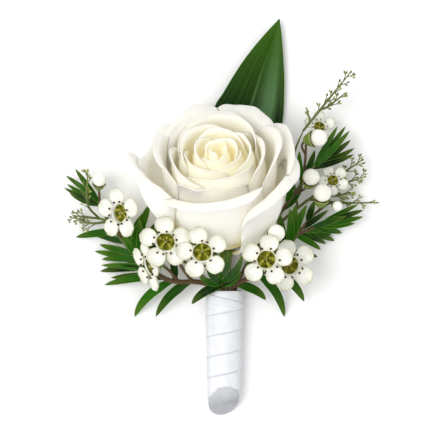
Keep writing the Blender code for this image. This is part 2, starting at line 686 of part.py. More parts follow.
def sprig_right(finish):
    """Twig to the right with two flowers, three buds and the feathery tuft."""
    twig = rooted(45, [(3.1, 20.6, 8.7), (8.3, 23.6, 11), (14, 26, 12.5), (20, 31, 11.5),
                       (24.5, 38, 9.8), (27, 41, 9.4)])
    stems = [
        (twig, (*TAPERED, TWIG_RADIUS, 0.85, 0.8, 0.75, 0.6, 0.5)),
        (((9.5, 24.2, 11.5), (11.2, 26.8, 20), flower("waxflower_e").root()), (0.7, 0.55, 0.5)),
        (((11.2, 26.8, 20), (13, 30.8, 25), (14.6, 34.4, 26.2), flower("bud_front").root()),
         (0.5, 0.4, 0.4, 0.4)),
        (((18, 29.5, 12), (21.5, 28.5, 13.5), flower("waxflower_f").root()), (0.6, 0.5, 0.5)),
        (((22.5, 35, 10.5), (30, 44.5, 9.5), (36.4, 49.7, 8.8)), (0.55, 0.5, 0.4)),
        (((32.5, 46.6, 9.4), (33.4, 48.2, 10.6), flower("bud_lower").root()), (0.45, 0.4, 0.4)),
        (((36.0, 49.4, 8.8), (37.2, 49.7, 9.0), flower("bud_small").root()), (0.4, 0.35, 0.3)),
        (((25, 38.6, 9.7), (31, 41, 9), (37, 43, 8.5)), (0.55, 0.5, 0.4)),
    ]
    rows = [
        ((4.4, 21.4, 9.4), (14.5, 16, 7), 2.9, (1.5, 2, 2)),
        ((11.5, 25, 11.8), (21.1, 9.8, 0.3), 3.0, (3, 3, 3)),
        ((15.5, 27, 12.4), (27.9, 15.3, 3), 3.0, (3, 2, 3)),
        ((35.8, 42.8, 8.7), (48.2, 47.2, 9), 2.0, (0, 0.4, 0.4)),
        ((34.6, 42.4, 8.8), (48.3, 44.9, 6), 2.0, (0, -0.5, 1)),
        ((33, 41.7, 8.8), (45.6, 42.6, 4), 2.0, (0, -0.5, 1)),
        ((31, 41, 9), (41.1, 39.2, 1.5), 2.2, (1, 0.5, 1)),
        ((28, 40, 9.4), (38.6, 36.4, 0.3), 2.2, (1, 0.5, 2)),
        ((26, 39.6, 9.6), (35.5, 35.4, 3), 2.2, (1, 0.5, 2)),
        ((30, 41, 9.1), (42.5, 45.2, 10.3), 1.9),
        ((32.4, 41.5, 9), (46.6, 49.2, 7.4), 1.8, (0, 0.5, 0.5)),
        ((28.8, 40.4, 9.3), (41.5, 42.8, 6.6), 1.9, (0, 0.4, 0.4)),
        ((27.4, 39.8, 9.5), (39.5, 40.8, 3.6), 1.9, (0, 0.4, 1)),
        ((25.8, 38.9, 9.6), (37.6, 38.6, 1.2), 2.0, (1, 0.4, 1)),
        ((26.8, 40.6, 9.4), (36.0, 47.2, 12.6), 1.8),
        ((24.8, 38.4, 9.7), (33.6, 33.4, 5), 2.0, (1, 0.5, 1)),
        ((22.5, 34, 10.8), (22.6, 47.5, 14), 2.8, (0.5, 0, 1)),
        ((24, 37.5, 9.8), (28.5, 49, 12), 2.4, (-1, 0, 0.5)),
        ((20.2, 31.3, 11.5), (18.6, 46.5, 15), 3.2, (0.6, 0, 0)),
        ((23.4, 36.2, 10.3), (24.4, 49.0, 13.5), 2.8, (0.4, 0, 1)),
        ((18.6, 29.7, 11.8), (14.0, 40.0, 14), 2.6, (0.8, 0, 0)),
        ((29, 43.2, 9.7), (31.2, 50.5, 14), 2.2, (-0.5, 0, 0)),
        ((21, 32.5, 11.2), (32.5, 31, 6), 2.4, (1, 0.5, 1)),
        ((9, 24, 11.2), (8.0, 30.5, 22), 2.2, (0, -1, 0)),
        ((16, 27.6, 12.3), (17.5, 36.5, 15.5), 2.4, (1, -1, 0)),
    ]
    heads = ("waxflower_e", "waxflower_f", "bud_front", "bud_lower", "bud_small")
    return sprig("sprig_right", stems, rows, heads, finish)


def sprig_upper(finish):
    """Twig that passes under the rose to the upper right tuft and its buds."""
    twig = rooted(0, [(4.8, 22, 5.4), (9, 30, 4.8), (16, 41, 5.6), (23, 51, 8), (28, 58, 10),
                      (31.4, 62.8, 11)])
    stems = [
        (twig, (*TAPERED, 0.65, 0.7, 0.65, 0.6, 0.55, 0.5)),
        (((27, 56.5, 9.7), (28, 64, 11), (28.2, 70, 12.5), flower("bud_upper").root()),
         (0.5, 0.45, 0.4, 0.4)),
        (((28.0, 66.5, 11.8), (27.0, 69.6, 7.6), (29.4, 73, 4.9), flower("waxflower_g").root()),
         (0.4, 0.4, 0.35, 0.3)),
        (((24, 52.3, 8.4), (27, 54, 11), flower("bud_middle").root()), (0.5, 0.4, 0.4)),
        (((29.5, 60, 10.4), (31, 58.6, 6.6), (34.2, 57.4, 5.6), flower("waxflower_h").root()),
         (0.4, 0.4, 0.35, 0.3)),
    ]
    rows = [
        ((30.9, 62, 10.9), (43.3, 74.6, 12), 2.1, (0.5, -0.5, 1)),
        ((31.1, 62.3, 11), (43.8, 71.5, 9), 2.1, (0.5, -0.5, 1)),
        ((31.0, 62.2, 11), (45.1, 68.6, 10), 2.0, (0.5, -0.8, 1)),
        ((31.3, 62.6, 11), (39.0, 76.0, 13.5), 1.9),
        ((31.2, 62.5, 11), (42.0, 76.2, 10), 1.9, (0.5, -0.5, 0.4)),
        ((30.6, 61.7, 10.8), (44.8, 66.4, 11.4), 1.9, (0.5, -0.5, 0.6)),
        ((27, 56.5, 9.7), (26.0, 67.5, 12), 2.0, (-0.6, 0, 0)),
        ((22, 49.8, 7.7), (25.5, 61, 13), 2.2, (-1, 0, 0)),
        ((20.5, 47.5, 7.1), (27.2, 56.0, 4.6), 2.4, (1, -0.5, 0)),
        ((26.4, 55.7, 9.4), (31.5, 68.0, 7.4), 2.2, (1, 0, 0)),
    ]
    heads = ("bud_upper", "bud_middle", "waxflower_g", "waxflower_h")
    return sprig("sprig_upper", stems, rows, heads, finish)


def seeded_branch(points, seeds, rng):
    """Thin branch with small seeds: short stalks to either side in turn and one seed at the tip."""
    line = [Vector(p) for p in points]
    widths = (SPRAY_RADIUS,) * (len(line) - 1) + (SPRAY_RADIUS * 0.7,)
    pieces = [tube("branch", line, widths, 4, 3)]
    for i in range(seeds):
        at = catmull(line, 0.35 + 0.65 * (i + 1) / seeds)
        back = catmull(line, 0.25 + 0.65 * (i + 1) / seeds)
        ahead = (at - back).normalized()
        if i == seeds - 1:
            pieces.append(seed(at + ahead * 0.2, ahead))
            continue
        over = ahead.cross(Vector((0, 0, 1))).normalized() * (1 if i % 2 else -1)
        way = (ahead + over * 0.9 + Vector((0, 0, rng.uniform(-0.1, 0.3)))).normalized()
        reach = rng.uniform(1.1, 2.0)
        pieces.append(tube("stalk", (at, at + way * (reach + 0.4)), (SEED_STALK, SEED_STALK), 3, 1))
        pieces.append(seed(at + way * reach, way))
    return pieces


def seed(root, way):
    """Small pointed seed from its root along a direction."""
    turn = frame_to(way)
    ring = [Vector((SEED_RADIUS * math.cos(a), SEED_RADIUS * math.sin(a), SEED_LENGTH * 0.45))
            for a in (2 * math.pi * k / SEED_SIDES for k in range(SEED_SIDES))]
    verts = [root] + [root + turn @ point for point in ring] + [root + way * SEED_LENGTH]
    faces = []
    for k in range(SEED_SIDES):
        a, b = 1 + k, 1 + (k + 1) % SEED_SIDES
        faces += [(0, b, a), (SEED_SIDES + 1, a, b)]
    return solid("seed", verts, faces)


def spray(name, main, branches, rng, finish):
    """Seed spray: one stem and its seeded branches, one body."""
    pieces = [tube("stem", main, SPRAY_STEM, 4)]
    for points, seeds in branches:
        pieces += seeded_branch(points, seeds, rng)
    made = fuse(name, pieces, finish)
    shade(made)
    return made


def caspia_left(finish):
    """Fine seed spray to the left, under the twig."""
    main = rooted(225, [(-4.5, 21, 2.6), (-12, 28, 2.2), (-26, 36, 3.6), (-38, 42.5, 4.6),
                        (-43.8, 44.3, 5.6)])
    branches = (
        (((-43.4, 44.2, 5.5), (-48, 44.8, 6), (-51.8, 45.2, 6.5)), 4),
        (((-43.4, 44.2, 5.5), (-47.2, 49.5, 12), (-46.8, 60.6, 16.0)), 5),
        (((-40, 43.2, 4.9), (-45, 42.6, 4), (-49.5, 42.8, 3)), 3),
    )
    return spray("caspia_left", main, branches, random.Random(4), finish)


def caspia_right(finish):
    """Fine seed sprays to the right: one tall, four short."""
    main = rooted(315, [(3.8, 21.2, 2.6), (10, 30, 1.6), (19, 42, 2.2), (27, 49, 3.3),
                        (32.5, 53, 3.4), (35.4, 55.6, 3.6)])
    branches = (
        (((25.6, 47.9, 3.3), (24.2, 59, 3.6), (24.4, 67, 7), (27.4, 75.0, 13.2)), 0),
        (((27.2, 74.5, 13.0), (34.5, 83.5, 13.6), (43.4, 94.5, 14)), 7),
        (((28.5, 76.3, 13.1), (29.5, 78, 13.3), (28.4, 82, 13.5)), 1),
        (((33, 81.7, 13.5), (36, 83, 13.5), (41.5, 87.3, 13)), 3),
        (((34.8, 55.1, 3.7), (42, 60.5, 4.6), (47.8, 64.5, 7)), 4),
        (((33.5, 53.8, 3.5), (42, 56.6, 3.8), (48.9, 58.8, 5)), 4),
        (((32.3, 52.9, 3.4), (38.5, 52.2, 3.2), (44.8, 53.2, 4)), 3),
        (((29.5, 50.9, 3.3), (41, 49.8, 2.6), (53.3, 49.8, 3)), 4),
    )
    return spray("caspia_right", main, branches, random.Random(9), finish)


def ruscus_leaf(finish):
    """Long folded leaf under the rose with its stalk, one body."""
    route = [Vector(p) for p in ((1.4, 45.5, 0.9), (3.6, 58, 0.5), (6.6, 76, 0.6), (9.3, 84.5, 1.1),
                                 (14, 99, 2.2), (19.25, 113.75, 3.6))]
    across, along = RUSCUS_ACROSS, RUSCUS_ALONG
    low, high = [], []
    for j in range(along + 1):
        t = j / along
        point = catmull(route, t)
        ahead = (catmull(route, min(1, t + 0.02)) - catmull(route, max(0, t - 0.02))).normalized()
        over = ahead.cross(Vector((0, 0, 1))).normalized()
        half = RUSCUS_HALF_WIDTH * math.sin(math.pi * min(0.985, max(0.03, t ** 0.84))) ** 0.9
        for i in range(across + 1):
            u = 2 * i / across - 1
            fold = RUSCUS_FOLD_LEFT if u < 0 else RUSCUS_FOLD_RIGHT
            rise = fold * abs(u) * half * (1 - 0.25 * abs(u))
            place = point + over * u * half * (RUSCUS_LEFT_SHARE if u < 0 else 1.0)
            place.z = max(place.z + rise, RUSCUS_THICKNESS / 2)
            low.append(place - Vector((0, 0, RUSCUS_THICKNESS / 2)))
            high.append(place + Vector((0, 0, RUSCUS_THICKNESS / 2)))
    row, count = across + 1, len(low)
    faces = []
    for j in range(along):
        for i in range(across):
            a, b, c, d = j * row + i, j * row + i + 1, (j + 1) * row + i + 1, (j + 1) * row + i
            faces += [(a, c, b), (a, d, c)]
            faces += [(count + a, count + b, count + c), (count + a, count + c, count + d)]
    for a, b in grid_edge(across, along):
        faces += [(a, b, count + b), (a, count + b, count + a)]
    stalk = rooted(270, [(-1.6, 22, 1.5), (-3.3, 29, 1.0), (-2.6, 38, 0.8), (1.0, 46, 0.95),
                         (1.9, 49, 0.8)])
    pieces = [solid("leaf", low + high, faces),
              tube("stalk", stalk, (*TAPERED, 0.6, 0.65, 0.65, 0.7, 0.5))]
    made = fuse("ruscus_leaf", pieces, finish)
    shade(made)
    return made


def rose_stem(finish):
    """Stem, hip and sepals of the rose, one body."""
    place = rose_matrix()
    place.translation = place.translation / MM
    hip = turned("hip", ((1.6, -HIP_LENGTH), (2.9, -5.6), (HIP_RADIUS, -3.6), (3.3, -1.4), (2.7, 0.0)),
                 HIP_SIDES)
    pieces = [move(hip, place)]
    foot = place @ Vector((0, 0, -5))
    route = [foot, (1.15, 31.2, 2.75), (0.9, 28, 2.5), (0.5, 23, 4.1), (0.1, 18.4, 5.5), (0, 16.6, 5.6),
             (0, 15.2, 5.6), (0, STEM_END_Y, 5.6)]
    pieces.append(tube("stem", route, (1.5,) + (ROSE_STEM_RADIUS,) * 7, 7))
    for k in range(SEPAL_COUNT):
        turn = math.radians(270 + 360 * k / SEPAL_COUNT)
        out = Vector((math.cos(turn), math.sin(turn), 0))
        root = place @ (out * 2.2 + Vector((0, 0, -1.2)))
        tip = place @ (out * 13.0 + Vector((0, 0, 2.4)))
        bow = place.to_3x3() @ (out * 1.2 + Vector((0, 0, -2.6)))
        face = place.to_3x3() @ (Vector((0, 0, 1)) - out * 0.2)
        pieces.append(blade("sepal", root, tip, SEPAL_WIDTH, bow, face))
    made = fuse("rose_stem", pieces, finish)
    shade(made)
    return made


# Handle --------------------------------------------------------------------------------

def cut(item, point, normal):
    """Cut away what lies on the normal's side of a plane and close the cut flat."""
    work = bmesh.new()
    work.from_mesh(item.data)
    geometry = work.verts[:] + work.edges[:] + work.faces[:]
    made = bmesh.ops.bisect_plane(work, geom=geometry, dist=1e-7, plane_co=Vector(point) * MM,
                                  plane_no=Vector(normal), clear_outer=True)
    rim = [e for e in made["geom_cut"] if isinstance(e, bmesh.types.BMEdge)]
    bmesh.ops.contextual_create(work, geom=rim)
    bmesh.ops.triangulate(work, faces=work.faces)
    work.to_mesh(item.data)
    work.free()
    return item


def ribbon_wrap(finish):
    """Satin sleeve in overlapping turns, shut at its slanted end and flat at the back."""
    turns = RIBBON_TURNS
    start = HANDLE_TOP + 2.4 * RIBBON_PITCH
    tuck = Vector((0, RIBBON_TUCK, 0))
    above, below = [], []
    for n in range(turns * SLEEVE_SIDES + 1):
        turn = 2 * math.pi * n / SLEEVE_SIDES
        y = start - RIBBON_PITCH * n / SLEEVE_SIDES
        share = min(1.0, max(0.0, (HANDLE_TOP - y) / (HANDLE_TOP - END_BACK_Y)))
        radius = HANDLE_TOP_RADIUS + (HANDLE_END_RADIUS - HANDLE_TOP_RADIUS) * share
        way = Vector((math.cos(turn), 0, math.sin(turn)))
        centre = Vector((0, y, HANDLE_AXIS_Z))
        above.append(centre + way * radius + tuck)
        below.append(centre + way * (radius - RIBBON_STEP) - tuck)
    verts = above + below
    count = len(above)
    faces = []
    for n in range(count - 1):
        faces.append((n, n + 1, count + n + 1, count + n))
        if n + SLEEVE_SIDES + 1 < count:
            faces.append((count + n, count + n + 1, n + SLEEVE_SIDES + 1, n + SLEEVE_SIDES))
    verts += [Vector((0, start + 1, HANDLE_AXIS_Z)),
              Vector((0, start - RIBBON_PITCH * turns - 1, HANDLE_AXIS_Z))]
    top, bottom = 2 * count, 2 * count + 1
    rim = list(range(SLEEVE_SIDES + 1)) + [count]
    foot = [count - 1] + [count + n for n in range(count - 1, count - SLEEVE_SIDES - 2, -1)]
    for loop, apex in ((rim, top), (foot, bottom)):
        faces += [(a, b, apex) for a, b in zip(loop, loop[1:] + loop[:1])]
    sleeve = solid("ribbon_wrap", verts, faces, finish)
    cut(sleeve, (0, HANDLE_TOP, 0), (0, 1, 0))
    slope = (END_FRONT_Y - END_BACK_Y) / (2 * HANDLE_AXIS_Z)
    cut(sleeve, (0, END_BACK_Y, 0), (END_SKEW, -1, slope))
    cut(sleeve, (0, 0, 0), (0, 0, -1))
    hollow(sleeve, [((0, SLEEVE_BORE_END, HANDLE_AXIS_Z), (0, HANDLE_TOP + 5, HANDLE_AXIS_Z),
                     SLEEVE_BORE, 16)])
    shade(sleeve, 30)
    return sleeve


def hollow(item, bores):
    """Take round bores out of a piece and apply the cuts."""
    for foot, top, radius, sides in bores:
        foot, top = Vector(foot), Vector(top)
        middle = (foot + top) / 2
        bore = tube("bore", (foot, middle, top), (radius, radius, radius), sides, 2)
        take = item.modifiers.new("bore", "BOOLEAN")
        take.operation = "DIFFERENCE"
        take.object = bore
        take.solver = "EXACT"
        graph = bpy.context.evaluated_depsgraph_get()
        mesh = bpy.data.meshes.new_from_object(item.evaluated_get(graph))
        item.modifiers.clear()
        item.data = mesh
        bpy.data.objects.remove(bore, do_unlink=True)
    return item


def stem_binding(finish):
    """Green tape pressed round the stems, with a plain hole for each stem."""
    core = tube("stem_binding", ((0, BINDING_BOTTOM, HANDLE_AXIS_Z), (0, 4, HANDLE_AXIS_Z),
                                 (0, BINDING_TOP, HANDLE_AXIS_Z)), (BINDING_RADIUS,) * 3, 12, 2)
    core.data.materials.append(finish)
    foot = STEM_END_Y - HOLE_CLEARANCE
    bores = [((0, foot, HANDLE_AXIS_Z), (0, BINDING_TOP + 3, HANDLE_AXIS_Z),
              ROSE_STEM_RADIUS + HOLE_CLEARANCE, 8)]
    for angle in SLOT_ANGLES:
        place = slot(angle)
        bores.append((place + Vector((0, foot, 0)), place + Vector((0, BINDING_TOP + 3, 0)),
                      SLOT_STEM + HOLE_CLEARANCE, 6))
    hollow(core, bores)
    shade(core, 30)
    return core


def main():
    """Build every piece of the boutonniere."""
    clear_scene()
    white = material("petal_white", (0.86, 0.85, 0.78), 0.55)
    wax_white = material("waxflower_white", (0.88, 0.88, 0.84), 0.4)
    leaf_green = material("leaf_green", (0.02, 0.11, 0.025), 0.4)
    sprig_green = material("sprig_green", (0.03, 0.13, 0.03), 0.5)
    spray_green = material("spray_green", (0.16, 0.2, 0.06), 0.7)
    stem_green = material("stem_green", (0.09, 0.2, 0.05), 0.5)
    tape_green = material("tape_green", (0.06, 0.16, 0.06), 0.8)
    satin = material("satin_white", (0.85, 0.86, 0.9), 0.35)
    ribbon_wrap(satin)
    stem_binding(tape_green)
    rose_bloom(white)
    rose_stem(stem_green)
    ruscus_leaf(leaf_green)
    sprig_left(sprig_green)
    sprig_centre(sprig_green)
    sprig_right(sprig_green)
    sprig_upper(sprig_green)
    caspia_left(spray_green)
    caspia_right(spray_green)
    for item in FLOWERS:
        wax_petals(item, wax_white)
    for item in BUDS:
        bud_body(item, wax_white)


main()
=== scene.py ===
"""The looks of a boutonniere: a white rose, waxflower sprigs, seed sprays and a ruscus leaf.

Each sub-assembly is a class with its sizes in millimetres and with methods that build its
meshes and dress them. The posy lies on its back: +Y runs from the cut end of the handle to
the tip of the long leaf, +X to the right and +Z up from the surface.
"""

from __future__ import annotations

import logging
import math
import random
from dataclasses import dataclass
from enum import Enum
from typing import Iterable, Sequence

import bpy
import numpy as np
from mathutils import Matrix, Vector


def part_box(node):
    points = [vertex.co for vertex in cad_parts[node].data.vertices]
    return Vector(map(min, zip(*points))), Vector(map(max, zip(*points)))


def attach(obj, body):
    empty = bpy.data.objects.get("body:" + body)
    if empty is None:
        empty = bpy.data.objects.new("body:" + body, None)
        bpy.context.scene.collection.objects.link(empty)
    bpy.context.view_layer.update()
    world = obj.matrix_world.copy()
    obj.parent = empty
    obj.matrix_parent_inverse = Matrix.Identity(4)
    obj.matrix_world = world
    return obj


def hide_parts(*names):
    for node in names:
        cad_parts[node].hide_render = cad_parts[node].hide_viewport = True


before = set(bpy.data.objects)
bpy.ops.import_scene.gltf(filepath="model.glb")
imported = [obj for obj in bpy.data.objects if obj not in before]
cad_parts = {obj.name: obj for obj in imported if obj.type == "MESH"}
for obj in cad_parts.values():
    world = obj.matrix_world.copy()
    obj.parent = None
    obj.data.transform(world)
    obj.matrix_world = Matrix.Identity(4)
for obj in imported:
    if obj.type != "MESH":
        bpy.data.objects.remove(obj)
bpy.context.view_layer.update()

LOG = logging.getLogger("boutonniere")
MM = 0.001
BODY = "root"
WHITE, BLACK = "#ffffff", "#000000"
UP = (0, 0, 1)
MIXED = {"data_type": "RGBA", "blend_type": "MIX"}
MULTIPLIED = {"data_type": "RGBA", "blend_type": "MULTIPLY"}
Point = Sequence[float]
Stop = tuple[float, str]
Socket = bpy.types.NodeSocket


class Slot(Enum):
    """The record's finishes."""

    PETAL = "petal_white"
    WAX = "waxflower_white"
    LEAF = "leaf_green"
    SPRIG = "sprig_green"
    SPRAY = "spray_green"
    STEM = "stem_green"
    SATIN = "satin_white"


# Colour and nodes ----------------------------------------------------------------------

def linear(colour: str) -> tuple[float, float, float, float]:
    """Turn an sRGB hex colour to linear light.

    Args:
        colour: Six hex digits with a leading #.

    Returns:
        Red, green, blue and an alpha of one.
    """
    parts = [int(colour[i:i + 2], 16) / 255 for i in (1, 3, 5)]
    red, green, blue = (c / 12.92 if c <= 0.04045 else ((c + 0.055) / 1.055) ** 2.4 for c in parts)
    return red, green, blue, 1.0


class Nodes:
    """The nodes of one material or world, and the patterns that the finishes share."""

    def __init__(self, tree: bpy.types.NodeTree) -> None:
        """Start on a tree."""
        self.tree = tree

    def feed(self, socket: Socket, value: Socket | float | str | Point) -> None:
        """Link or set an input.

        Args:
            socket: The input.
            value: The output that feeds it, or its number, vector or hex colour.
        """
        if isinstance(value, Socket):
            self.tree.links.new(value, socket)
        else:
            socket.default_value = linear(value) if isinstance(value, str) else value

    def add(self, kind: str, settings: dict | None = None, links: dict | None = None,
            out: int | str = 0, stops: Sequence[Stop] = (), **values: object) -> Socket:
        """Add a node with its settings and links.

        Args:
            kind: The node's type without the ShaderNode prefix.
            settings: Properties of the node itself.
            links: Input name or index, to what feeds it.
            out: Name or index of the output that is wanted.
            stops: Places and hex colours along its colour ramp, if it has one.
            values: Input name, with _ for a space, to what feeds it.

        Returns:
            The output.
        """
        made = self.tree.nodes.new("ShaderNode" + kind)
        for name, value in (settings or {}).items():
            setattr(made, name, value)
        named = {name.replace("_", " "): value for name, value in values.items()}
        for name, value in (named | (links or {})).items():
            self.feed(made.inputs[name], value)
        for _ in stops[2:]:
            made.color_ramp.elements.new(0.5)
        for i, (place, colour) in enumerate(stops):
            made.color_ramp.elements[i].position = place
            made.color_ramp.elements[i].color = linear(colour)
        return made.outputs[out]

    def painted(self, colour: Socket, paint: Socket | str, factor: Socket, *stops: Stop) -> Socket:
        """Return a colour painted over where the stops along a factor are white."""
        mask = self.add("ValToRGB", stops=stops, Fac=factor)
        return self.add("Mix", MIXED, {0: mask, 6: colour, 7: paint}, 2)

    def darkened(self, colour: Socket, share: float, factor: Socket, *stops: Stop) -> Socket:
        """Return a colour multiplied, by a share, with the stops along a factor."""
        by = self.add("ValToRGB", stops=stops, Fac=factor)
        return self.add("Mix", MULTIPLIED, {0: share, 6: colour, 7: by}, 2)

    def surface(self) -> tuple[Socket, Socket]:
        """Read where a point lies on the surface.

        Returns:
            The coordinates across and along it, each from 0 to 1.
        """
        place = self.add("UVMap", {"uv_map": "surface"})
        return self.add("SeparateXYZ", links={0: place}), self.add("SeparateXYZ", links={0: place}, out=1)

    def inward(self, across: Socket) -> Socket:
        """Return the way in from the nearer side edge: 0 there and 0.5 at the middle."""
        return self.add("Math", {"operation": "PINGPONG"}, {0: across, 1: 0.5})

    def place(self) -> Socket:
        """Return the place in the posy's frame, in metres."""
        return self.add("TexCoord", out="Object")

    def spots(self, size_mm: float) -> Socket:
        """Return soft noise whose spots are about size_mm across."""
        return self.add("TexNoise", Vector=self.place(), Scale=1.0 / (size_mm * MM), Detail=3.0)

    def streaks(self, x: Socket, y: Socket, scale: float, detail: float) -> Socket:
        """Return flat noise read at two coordinates."""
        place = self.add("CombineXYZ", links={0: x, 1: y})
        return self.add("TexNoise", {"noise_dimensions": "2D"}, Vector=place, Scale=scale, Detail=detail)

    def tint(self) -> Socket:
        """Return the tint that each leaf, petal or seed was given."""
        return self.add("Attribute", {"attribute_name": "tint"}, out="Fac")


@dataclass(frozen=True)
class Finish:
    """What all finishes share: a name, and the way that their shader is filled."""

    name: str

    def start(self) -> tuple[bpy.types.Material, Nodes]:
        """Make a material.

        Returns:
            The new material and its nodes.
        """
        made = bpy.data.materials.new(self.name)
        made.use_nodes = True
        return made, Nodes(made.node_tree)

    @staticmethod
    def dress(nodes: Nodes, **values: object) -> None:
        """Fill the shader.

        Args:
            nodes: The material's nodes.
            values: The shader's input name, with _ for a space, to what feeds it.
        """
        shader = nodes.tree.nodes["Principled BSDF"]
        for name, value in values.items():
            nodes.feed(shader.inputs[name.replace("_", " ")], value)


@dataclass(frozen=True)
class RosePetalFinish(Finish):
    """Rose petal, grown: matt and thin, so light that passes through warms the hollows."""

    foot: str = "#f8e6a2"
    middle: str = "#fdf9e9"
    upper: str = "#fefcf3"
    rim: str = "#edeae1"
    petal_mm: float = 44.2
    vein_mm: float = 1.3
    glow: float = 0.16

    def build(self) -> bpy.types.Material:
        """Make it cream at the foot and cool white at the rim, with faint veins.

        Returns:
            The material.
        """
        made, nodes = self.start()
        across, along = nodes.surface()
        body = nodes.add("ValToRGB", Fac=along, stops=((0.0, self.foot), (0.3, self.middle),
                                                       (0.6, self.upper), (0.88, self.rim)))
        warm = nodes.add("ValToRGB", Fac=along, stops=((0.0, "#f5e5ae"), (0.5, "#fcf3d0"),
                                                       (0.85, "#fdf7dc"), (1.0, "#fdfaec")))
        colour = nodes.add("Mix", MIXED, {0: nodes.tint(), 6: body, 7: warm}, 2)
        # veins fan up the petal, wandering a little and drawn out lengthwise
        veins = nodes.add("Math", {"operation": "MULTIPLY"}, {0: across, 1: self.petal_mm / self.vein_mm})
        drift = nodes.add("Math", {"operation": "ADD"}, {0: veins, 1: nodes.spots(4.0)})
        slow = nodes.add("Math", {"operation": "MULTIPLY"}, {0: along, 1: 1.6})
        vein = nodes.streaks(drift, slow, 1.0, 4.0)
        colour = nodes.darkened(colour, 0.05, vein, (0.35, "#d8cfa4"), (0.6, WHITE))
        # light that has passed through many petals still warms the heart: a faint glow stands for it
        inside = nodes.add("ValToRGB", Fac=nodes.tint(), stops=((0.0, "#949490"), (0.4, "#84816f"),
                                                                (1.0, "#f0f0f0")))
        glow = nodes.darkened(inside, 1.0, along, (0.2, "#fff6d2"), (0.6, "#fff9e4"), (0.95, "#8c8a80"))
        bump = nodes.add("Bump", Height=vein, Strength=0.16, Distance=0.3 * MM)
        # dry tissue shows almost no highlight, and full scatter over 1.5 mm softens its shadows
        self.dress(nodes, Base_Color=colour, Normal=bump, Emission_Color=glow,
                   Emission_Strength=self.glow, Roughness=0.62, Specular_IOR_Level=0.2,
                   Subsurface_Weight=1.0, Subsurface_Radius=(1.0, 1.0, 0.95), Subsurface_Scale=1.5 * MM)
        return made


@dataclass(frozen=True)
class WaxPetalFinish(Finish):
    """Waxflower petal, grown: waxy and pearly, white in its hollow, greener and darker at its rim, partly
    its own colour and partly painted shade.
    """

    hollow: str = "#eeeee6"
    rim: str = "#cfd0b2"
    foot: str = "#e6e4cc"
    roughness: float = 0.28

    def build(self) -> bpy.types.Material:
        """Make it pearl in the hollow, turning toward the foot and the rim to their colours; the rim's is
        partly painted shade.

        Returns:
            The material.
        """
        made, nodes = self.start()
        across, along = nodes.surface()
        colour = nodes.add("ValToRGB", Fac=along, stops=((0.0, self.foot), (0.25, self.hollow),
                                                         (0.55, self.hollow), (1.0, self.rim)))
        # painted shade with the petal's own greener margin: the rim colour also darkens the side edges, so
        # the cupped petal reads round
        colour = nodes.painted(colour, self.rim, nodes.inward(across), (0.0, WHITE), (0.22, BLACK))
        colour = nodes.darkened(colour, 0.3, nodes.spots(1.6), (0.3, "#e8e8e2"), (0.65, WHITE))
        bump = nodes.add("Bump", Height=nodes.spots(1.1), Strength=0.15, Distance=0.3 * MM)
        # a thin coat gives the small soft highlights of wax, over a body that glows a little
        self.dress(nodes, Base_Color=colour, Normal=bump,
                   Roughness=self.roughness, Coat_Weight=0.25, Coat_Roughness=0.3,
                   Subsurface_Weight=0.25, Subsurface_Radius=(1.0, 1.0, 0.95), Subsurface_Scale=0.8 * MM)
        return made


@dataclass(frozen=True)
class LeafFinish(Finish):
    """Leaf blade, grown: a waxy skin over green flesh, with veins along the blade.

    One half may carry a band of painted sheen, with its own strength, stops across the blade and colour;
    margin is the width of the pale edge, as a share of the blade's width.
    """

    blade_mm: float
    vein_mm: float
    deep: str = "#041c01"
    fresh: str = "#2f6b0a"
    edge: str = "#6f8f3c"
    tip: str = "#6b8030"
    vein_strength: float = 0.3
    roughness: float = 0.3
    gloss: float = 0.07
    painted_sheen: float = 0.0
    painted_sheen_band: tuple[Stop, ...] = ((0.5, BLACK), (0.54, WHITE))
    painted_sheen_colour: str = "#6f8f3c"
    margin: float = 0.05
    glint: str = "#3a3a3a"

    def build(self) -> bpy.types.Material:
        """Make it veined across, with a paler midrib and edge, a yellower tip and, on one half, painted
        sheen.

        Returns:
            The material.
        """
        made, nodes = self.start()
        across, along = nodes.surface()
        tone = nodes.add("ValToRGB", Fac=nodes.tint(), stops=((0.0, self.deep), (1.0, self.fresh)))
        tone = nodes.darkened(tone, 0.5, nodes.spots(5.0), (0.3, "#a8b878"), (0.7, WHITE))
        # painted sheen: a paler band across one half of the blade, fading out toward the tip
        band = nodes.add("ValToRGB", Fac=across, stops=self.painted_sheen_band)
        band = nodes.add("Mix", MIXED, {0: 1.0 - self.painted_sheen, 6: band, 7: BLACK}, 2)
        band = nodes.darkened(band, 1.0, along, (0.6, WHITE), (0.95, "#303030"))
        tone = nodes.add("Mix", MIXED, {0: band, 6: tone, 7: self.painted_sheen_colour}, 2)
        turns = self.blade_mm / self.vein_mm * 2 * math.pi
        veins = nodes.add("Math", {"operation": "MULTIPLY"}, {0: across, 1: turns})
        wave = nodes.add("Math", {"operation": "COSINE"}, {0: veins})
        tone = nodes.darkened(tone, self.vein_strength, wave, (0.0, "#86a070"), (0.8, WHITE))
        inward = nodes.inward(across)
        tone = nodes.painted(tone, self.edge, inward, (0.0, WHITE), (self.margin, BLACK))
        tone = nodes.painted(tone, self.edge, inward, (0.478, BLACK), (0.497, "#8c8c8c"))
        tone = nodes.painted(tone, self.tip, along, (0.55, BLACK), (1.0, "#b4b4b4"))
        # pale streaks run the length of the blade, about a third of a vein's spacing wide and broken up:
        # partly the blade's fibres, partly painted glints of highlight
        fibre = nodes.streaks(veins, along, 0.55, 5.0)
        tone = nodes.painted(tone, self.edge, fibre, (0.52, BLACK), (0.72, self.glint))
        bump = nodes.add("Bump", Height=wave, Strength=0.22, Distance=0.2 * MM)
        # the skin's low gloss keeps the greens deep, and a trace of scatter lights the thin edges
        self.dress(nodes, Base_Color=tone, Normal=bump,
                   Roughness=self.roughness, Specular_IOR_Level=self.gloss, Subsurface_Weight=0.06,
                   Subsurface_Radius=(0.4, 1.0, 0.2), Subsurface_Scale=0.5 * MM)
        return made


